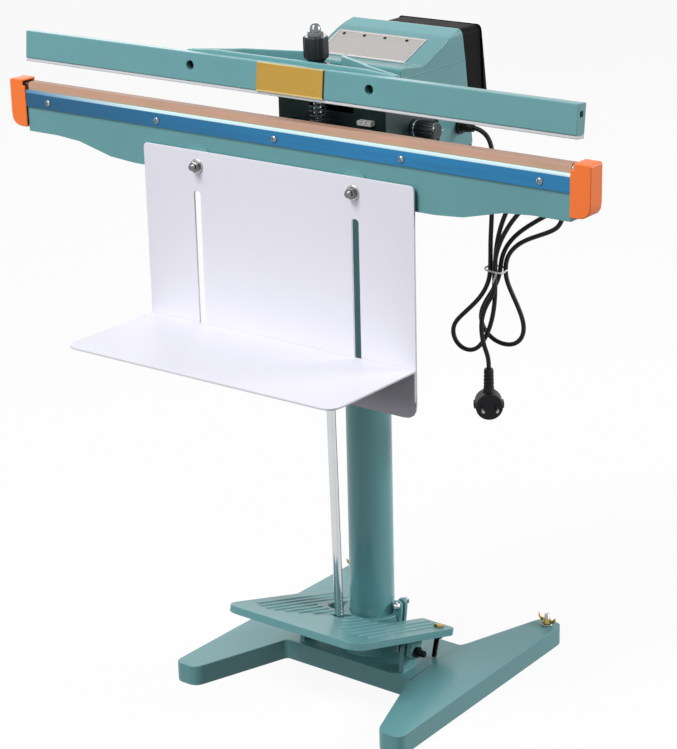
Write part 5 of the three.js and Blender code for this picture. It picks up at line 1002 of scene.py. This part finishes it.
class SEALER_OT_knobs(bpy.types.Operator):
    """Makes the pressure knob with its collar and dome, the time knob and the springs"""
    bl_idname = "sealer.knobs"
    bl_label = "Knobs and springs"

    def execute(self, context):
        grip = turned("pressure_knob_finished", KNOB_GRIP, KNOB_LOBES[0] * 6, ring=True)
        self.lobed(grip, *KNOB_LOBES)
        stand(grip, KNOB_PLACE, KNOB_AXIS, KNOB_SPIN)
        fit(grip, "knob", finishes["knob"], ["pressure_knob"])
        cover = stand(turned("knob_washer", KNOB_WASHER, 48, ring=True), KNOB_PLACE, KNOB_AXIS)
        fit(cover, "knob", finishes["steel"])
        collar = self.lobed(turned("collar", COLLAR, COLLAR_LOBES[0] * 4, ring=True), *COLLAR_LOBES)
        dome = turned("dome", DOME, 48, degrees=60)
        cut_by(dome, turned("bore", DOME_BORE, 48))
        nut = stand(joined("dome_nut_finished", collar, dome), KNOB_PLACE, KNOB_AXIS)
        fit(nut, "rod", finishes["dome"], ["dome_nut"])
        skirt = stand(turned("time_knob_skirt", TIME_SKIRT, 48, ring=True), TIME_PLACE, (1, 0, 0))
        fit(skirt, "time_dial", finishes["nickel"])
        dial = self.lobed(turned("time_knob_finished", TIME_GRIP, TIME_LOBES[0] * 6), *TIME_LOBES)
        mark = block("time_mark", *TIME_MARK)
        stand(dial, TIME_PLACE, (1, 0, 0))
        stand(mark, TIME_PLACE, (1, 0, 0))
        fit(dial, "time_dial", finishes["dial"], ["time_knob"])
        dial.data.materials.append(finishes["dark_knob"])
        for face in dial.data.polygons:
            if face.normal.x > 0.5 and face.center.x > TIME_FACE_X * MM:
                face.material_index = 1
        fit(mark, "time_dial", finishes["nylon"])
        # The springs' dark grey is partly painted shade under the jaw
        coil = finished("return_spring", finishes["spring"], degrees=80)
        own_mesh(coil)
        finished("pressure_spring", finishes["spring"], degrees=80)
        finished("pull_rod", finishes["chrome"], 0.4 * MM)
        finished("rod_pin", finishes["zinc"], 0.4 * MM)
        return {"FINISHED"}

    def lobed(self, piece, count, depth, radius, low, high):
        """Presses narrow grooves into the side of a turned piece, so that broad lobes stay."""
        each = WHOLE_TURN / count

        def in_groove(p):
            off = (math.atan2(p.y, p.x) / each + 0.5) % 1 - 0.5
            return (low - GROOVE_MARGIN < p.z < high + GROOVE_MARGIN and abs(off) < GROOVE_SHARE
                    and math.hypot(p.x, p.y) > radius - GROOVE_REACH)

        pick(piece, "VERT", in_groove)
        share = (radius - depth) / radius
        bpy.ops.transform.resize(value=(share, share, 1), center_override=(0, 0, 0))
        bpy.ops.object.mode_set(mode="OBJECT")
        smooth(piece, 30)
        return piece


class SEALER_OT_hardware(bpy.types.Operator):
    """Makes the bolts, nuts, washers, wing nuts and screws that hold the machine together"""
    bl_idname = "sealer.hardware"
    bl_label = "Bolts and nuts"

    def execute(self, context):
        for node, place, back, front in SHELF_BOLTS:
            self.plate_bolt(node, place, back, front)
        for side, name in ((-1, "left"), (1, "right")):
            self.leveller(name, side * LEVELLER_X)
            self.pivot(name, side)
        self.clamp()
        self.stop_bolt()
        finished("pivot_axle", finishes["zinc"], 0.5 * MM)
        return {"FINISHED"}

    def plate_bolt(self, node, place, back, front):
        """A hexagon bolt through a sheet, with its washer and nut in front."""
        neck = back + BOLT_HEAD_HEIGHT
        outline = [(BOLT_HEAD_RADIUS - 0.1, back), (BOLT_HEAD_RADIUS, back + 0.4),
                   (BOLT_HEAD_RADIUS, neck - 0.1), (BOLT_RADIUS, neck), (BOLT_RADIUS, 7.8),
                   *thread(BOLT_RADIUS, 0.45, 8.1, front - 0.6, 0.9), (3, front)]
        stud = turned("stud", outline, 24)
        nut = turned("nut", NUT, 6, ring=True, degrees=25)
        stand(nut, (0, 0, 0), spin=BOLT_SPINS[place[0] > 0])
        bolt = stand(joined(f"{node}_finished", stud, nut), place, (0, -1, 0))
        fit(bolt, frame["nodes"][node]["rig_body"], finishes["dull_zinc"], [node])
        washer = stand(turned(f"{node}_washer", WASHER, 40, ring=True), place, (0, -1, 0))
        fit(washer, frame["nodes"][node]["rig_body"], finishes["zinc"])

    def leveller(self, name, x):
        """A levelling screw with its pad and washer, and the wing nut that locks it."""
        place = (x, LEVELLER_Y, 0)
        screw = turned("screw", LEVELLER_SCREW, 32)
        washer = turned("washer", LEVELLER_WASHER, 40, ring=True)
        stand(joined(f"leveller_{name}_finished", screw, washer), place)
        fit(screw, "base", finishes["zinc"], [f"leveller_{name}"])
        hub = turned("hub", WING_HUB, 40, ring=True)
        wings = []
        for turn in (0, 180):
            wing = block("wing", *WING_ROOT)
            pick(wing, "FACE", lambda centre, normal: normal.x > 0.9)
            for way, share in WING_STEPS:
                bpy.ops.mesh.extrude_region_move(
                    TRANSFORM_OT_translate={"value": [v * MM for v in way]})
                bpy.ops.transform.resize(value=share)
            done(wing)
            round_edges(wing, WING_EDGE * MM, 3, 25)
            wings.append(stand(wing, (0, 0, 0), spin=turn))
        wing_nut = stand(joined(f"wing_nut_{name}", hub, *wings), place, spin=WING_SPINS[x > 0])
        smooth(wing_nut, 50)
        fit(wing_nut, "base", finishes["yellow_zinc"])

    def pivot(self, name, side):
        """A dark pivot bolt through the base's lug and the pedal's lug."""
        bolt = turned("bolt", PIVOT_BOLT, 24)
        nut = turned("nut", PIVOT_NUT, 6, ring=True, degrees=25)
        piece = stand(joined(f"pedal_pivot_{name}_finished", bolt, nut), PIVOT_PLACE, (side, 0, 0), 10)
        fit(piece, "base", finishes["black_steel"], [f"pedal_pivot_{name}"])

    def clamp(self):
        """The column's clamp screw with a polished ball on its front end and a nut behind."""
        front = turned("ball", CLAMP_BALL, 40, degrees=70)
        rod = turned("rod", CLAMP_ROD, 24)
        stand(joined("ball", front, rod), (0, 0, 0))
        nut = turned("nut", CLAMP_NUT, 6)
        screw = stand(joined("column_clamp_screw_finished", front, nut), CLAMP_PLACE, (0, -1, 0))
        fit(screw, "base", finishes["chrome"], ["column_clamp_screw"])

    def stop_bolt(self):
        """The pedal's stop bolt: a dark screw with its nut, and a yellow passivated head."""
        slope = math.radians(PEDAL_TILT)
        _, pivot_y, pivot_z = PIVOT_PLACE
        place = (STOP_X, pivot_y + STOP_U * math.cos(slope), pivot_z - STOP_U * math.sin(slope))
        axis = (0, math.sin(slope), math.cos(slope))
        shank = turned("shank", STOP_SHANK, 24)
        nut = turned("nut", STOP_NUT, 6, ring=True, degrees=25)
        screw = stand(joined("pedal_stop_bolt_finished", shank, nut), place, axis)
        fit(screw, "pedal", finishes["black_steel"], ["pedal_stop_bolt"])
        head = turned("pedal_stop_bolt_head", STOP_HEAD, 6, degrees=25)
        fit(stand(head, place, axis, 12), "pedal", finishes["yellow_zinc"])


class SEALER_OT_housing(bpy.types.Operator):
    """Finishes the panel, the rear cover, the shelf and what the head holds inside"""
    bl_idname = "sealer.housing"
    bl_label = "Panel, cover, shelf and inner pieces"

    def execute(self, context):
        self.rear_cover()
        finish_all(HEAD_PIECES, context.scene.sealer_sizes.sheet_edge)
        self.panel()
        return {"FINISHED"}

    def rear_cover(self):
        """The black cover with a raised rim at its back, vent slots and four screws."""
        cover = finished("rear_cover", finishes["black"], 1.2 * MM)
        rim = twin(cover, "rear_cover_rim")
        pick(rim, "VERT", lambda p: True)
        bpy.ops.transform.resize(value=COVER_RIM_SHARE, center_override=[v * MM for v in COVER_MIDDLE])
        bpy.ops.mesh.bisect(plane_co=(0, COVER_RIM_Y * MM, 0), plane_no=(0, 1, 0), use_fill=True,
                            clear_inner=True)
        bpy.ops.mesh.select_all(action="SELECT")
        bpy.ops.transform.translate(value=(0, 0.4 * MM, 0))
        done(rim)
        low, high, tall = VENT
        for z in VENT_HEIGHTS:
            cut_by(rim, block("vent", (*low, z), (*high, z + tall), 1.2, 3))
        smooth(rim, 40)
        fit(rim, "base", finishes["black"])
        screws = joined("rear_cover_screws", *[
            stand(turned("screw", STRIP_SCREW, 24, degrees=40), place, (0, 1, 0))
            for place in COVER_SCREWS])
        fit(screws, "base", finishes["nickel"])

    def panel(self):
        """The bare panel sheet on the lid's incline, with a pressed border and rivets."""
        sheet = block("panel_plate_finished", *PANEL_SHEET)
        round_edges(sheet, PANEL_EDGE * MM, EDGE_STEPS)
        pick(sheet, "FACE", lambda centre, normal: normal.z > 0.9 and centre.z > 1)
        bpy.ops.mesh.inset(thickness=PANEL_BORDER * MM, depth=0)
        bpy.ops.mesh.inset(thickness=PANEL_PRESS[0] * MM, depth=-PANEL_PRESS[1] * MM)
        bpy.ops.object.mode_set(mode="OBJECT")
        smooth(sheet, 25)
        studs = joined("panel_rivets", *[
            stand(turned("rivet", RIVET, 20, degrees=50), place) for place in PANEL_RIVETS])
        for piece in (sheet, studs):
            piece.matrix_world = (Matrix.Translation(Vector(PANEL_PLACE) * MM)
                                  @ Matrix.Rotation(PANEL_SLOPE, 4, "X"))
            settle(piece)
        fit(sheet, "base", finishes["panel"], ["panel_plate"])
        fit(studs, "base", finishes["black_steel"])


# The studio

CAMERA_PLACE = Vector((1.7463, -2.2435, 1.4663))
CAMERA_RIGHT = Vector((0.79549, 0.60552, -0.02332))
CAMERA_UP = Vector((-0.18416, 0.27825, 0.94269))
CAMERA_BACK = Vector((0.57730, -0.74561, 0.33285))
CAMERA_LENS = 107.2
CAMERA_SENSOR = 36
WORLD_LIGHT = 0.26
FLOOR_BOUNCE = 0.03
FLOOR_GLOW = 0.92
# Name, place, target, size and power of each soft box
LAMPS = [
    ("key light", (-0.5, -1.9, 3.1), (0, 0, 0.6), 1.2, 70),
    ("front light", (-0.4, -3.2, 1.9), (0, 0, 0.8), 1.6, 30),
    ("side light", (2.6, 2.0, 1.6), (0, 0, 0.5), 1.4, 74),
    ("rear light", (-2.4, 2.4, 1.5), (0, 0, 0.6), 1.6, 10),
]


def soft_lamp(name, place, target, size, power):
    """A square soft box that looks at a target."""
    data = bpy.data.lights.new(name, "AREA")
    data.shape = "SQUARE"
    data.size = size
    data.energy = power
    lamp = bpy.data.objects.new(name, data)
    bpy.context.scene.collection.objects.link(lamp)
    lamp.location = place
    lamp.rotation_mode = "QUATERNION"
    lamp.rotation_quaternion = (Vector(target) - Vector(place)).to_track_quat("-Z", "Y")


def seen_directly(tree):
    """1 for the rays that see the background: from the camera, in a reflection or through glass."""
    ray = add(tree, "ShaderNodeLightPath")
    plain = add(tree, "ShaderNodeMath", {"operation": "MAXIMUM"}, {
        0: ray.outputs["Is Camera Ray"], 1: ray.outputs["Is Transmission Ray"]})
    seen = add(tree, "ShaderNodeMath", {"operation": "MAXIMUM"}, {
        0: plain.outputs[0], 1: ray.outputs["Is Glossy Ray"]})
    return seen.outputs[0]


def white_world():
    """A white background to the camera, and soft even light on the object."""
    world = bpy.data.worlds.new("white studio")
    bpy.context.scene.world = world
    world.use_nodes = True
    tree = world.node_tree
    tree.nodes.clear()
    seen = seen_directly(tree)
    strength = spread(tree, seen, 0.0, 1.0, WORLD_LIGHT, 1.0)
    sky = add(tree, "ShaderNodeBackground", inputs={"Color": (1, 1, 1, 1), "Strength": strength})
    add(tree, "ShaderNodeOutputWorld", inputs={"Surface": sky.outputs[0]})


def floor_finish():
    """A pale matt floor that keeps the object's shadow, and throws little light back up."""
    material = bpy.data.materials.new("pale matt floor")
    material.use_nodes = True
    tree = material.node_tree
    tree.nodes.clear()
    seen = seen_directly(tree)
    tint = blended(tree, seen, (*[FLOOR_BOUNCE] * 3, 1), (0.95, 0.95, 0.95, 1))
    matt = add(tree, "ShaderNodeBsdfDiffuse", inputs={"Color": tint})
    glow = add(tree, "ShaderNodeEmission", inputs={"Color": (1, 1, 1, 1), "Strength": 1.0})
    share = add(tree, "ShaderNodeMath", {"operation": "MULTIPLY"}, {0: seen, 1: FLOOR_GLOW})
    mix = add(tree, "ShaderNodeMixShader", inputs={
        0: share.outputs[0], 1: matt.outputs[0], 2: glow.outputs[0]})
    add(tree, "ShaderNodeOutputMaterial", inputs={"Surface": mix.outputs[0]})
    return material


class SEALER_OT_stage(bpy.types.Operator):
    """Sets up the camera, the pale floor and the soft light"""
    bl_idname = "sealer.stage"
    bl_label = "Camera and studio"

    def execute(self, context):
        scene = context.scene
        camera = bpy.data.objects.new("camera", bpy.data.cameras.new("camera"))
        scene.collection.objects.link(camera)
        camera.data.lens = CAMERA_LENS
        camera.data.sensor_width = CAMERA_SENSOR
        camera.data.clip_end = 50
        turn = Matrix((CAMERA_RIGHT, CAMERA_UP, CAMERA_BACK)).transposed()
        camera.matrix_world = Matrix.Translation(CAMERA_PLACE) @ turn.to_4x4()
        scene.camera = camera
        scene.view_settings.view_transform = "Standard"
        white_world()
        bpy.ops.object.select_all(action="DESELECT")
        bpy.ops.mesh.primitive_plane_add(size=30)
        floor = context.object
        floor.name = "floor"
        floor.data.materials.append(floor_finish())
        for lamp in LAMPS:
            soft_lamp(*lamp)
        return {"FINISHED"}


class SEALER_PT_panel(bpy.types.Panel):
    """Lists the steps that dress the sealer"""
    bl_idname = "SEALER_PT_panel"
    bl_label = "Foot pedal sealer"
    bl_space_type = "VIEW_3D"
    bl_region_type = "UI"
    bl_category = "Sealer"

    def draw(self, context):
        layout = self.layout
        for step in STEPS:
            layout.operator(step.bl_idname)
        for group in (context.scene.sealer_sizes, context.scene.sealer_colours):
            for name in group.bl_rna.properties.keys():
                if name not in ("rna_type", "name"):
                    layout.prop(group, name)


STEPS = [SEALER_OT_stage, SEALER_OT_cord, SEALER_OT_castings, SEALER_OT_jaws, SEALER_OT_knobs,
         SEALER_OT_hardware, SEALER_OT_housing]
CLASSES = [SealerColours, SealerSizes, *STEPS, SEALER_PT_panel]


def register():
    for item in CLASSES:
        bpy.utils.register_class(item)
    bpy.types.Scene.sealer_colours = PointerProperty(type=SealerColours)
    bpy.types.Scene.sealer_sizes = PointerProperty(type=SealerSizes)


def unregister():
    del bpy.types.Scene.sealer_sizes
    del bpy.types.Scene.sealer_colours
    for item in reversed(CLASSES):
        bpy.utils.unregister_class(item)


def main():
    """Registers the add-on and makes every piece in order."""
    register()
    finishes.update(make_finishes())
    bpy.ops.sealer.stage()
    bpy.ops.sealer.cord()
    bpy.ops.sealer.castings()
    bpy.ops.sealer.jaws()
    bpy.ops.sealer.knobs()
    bpy.ops.sealer.hardware()
    bpy.ops.sealer.housing()


if __name__ == "__main__":
    main()
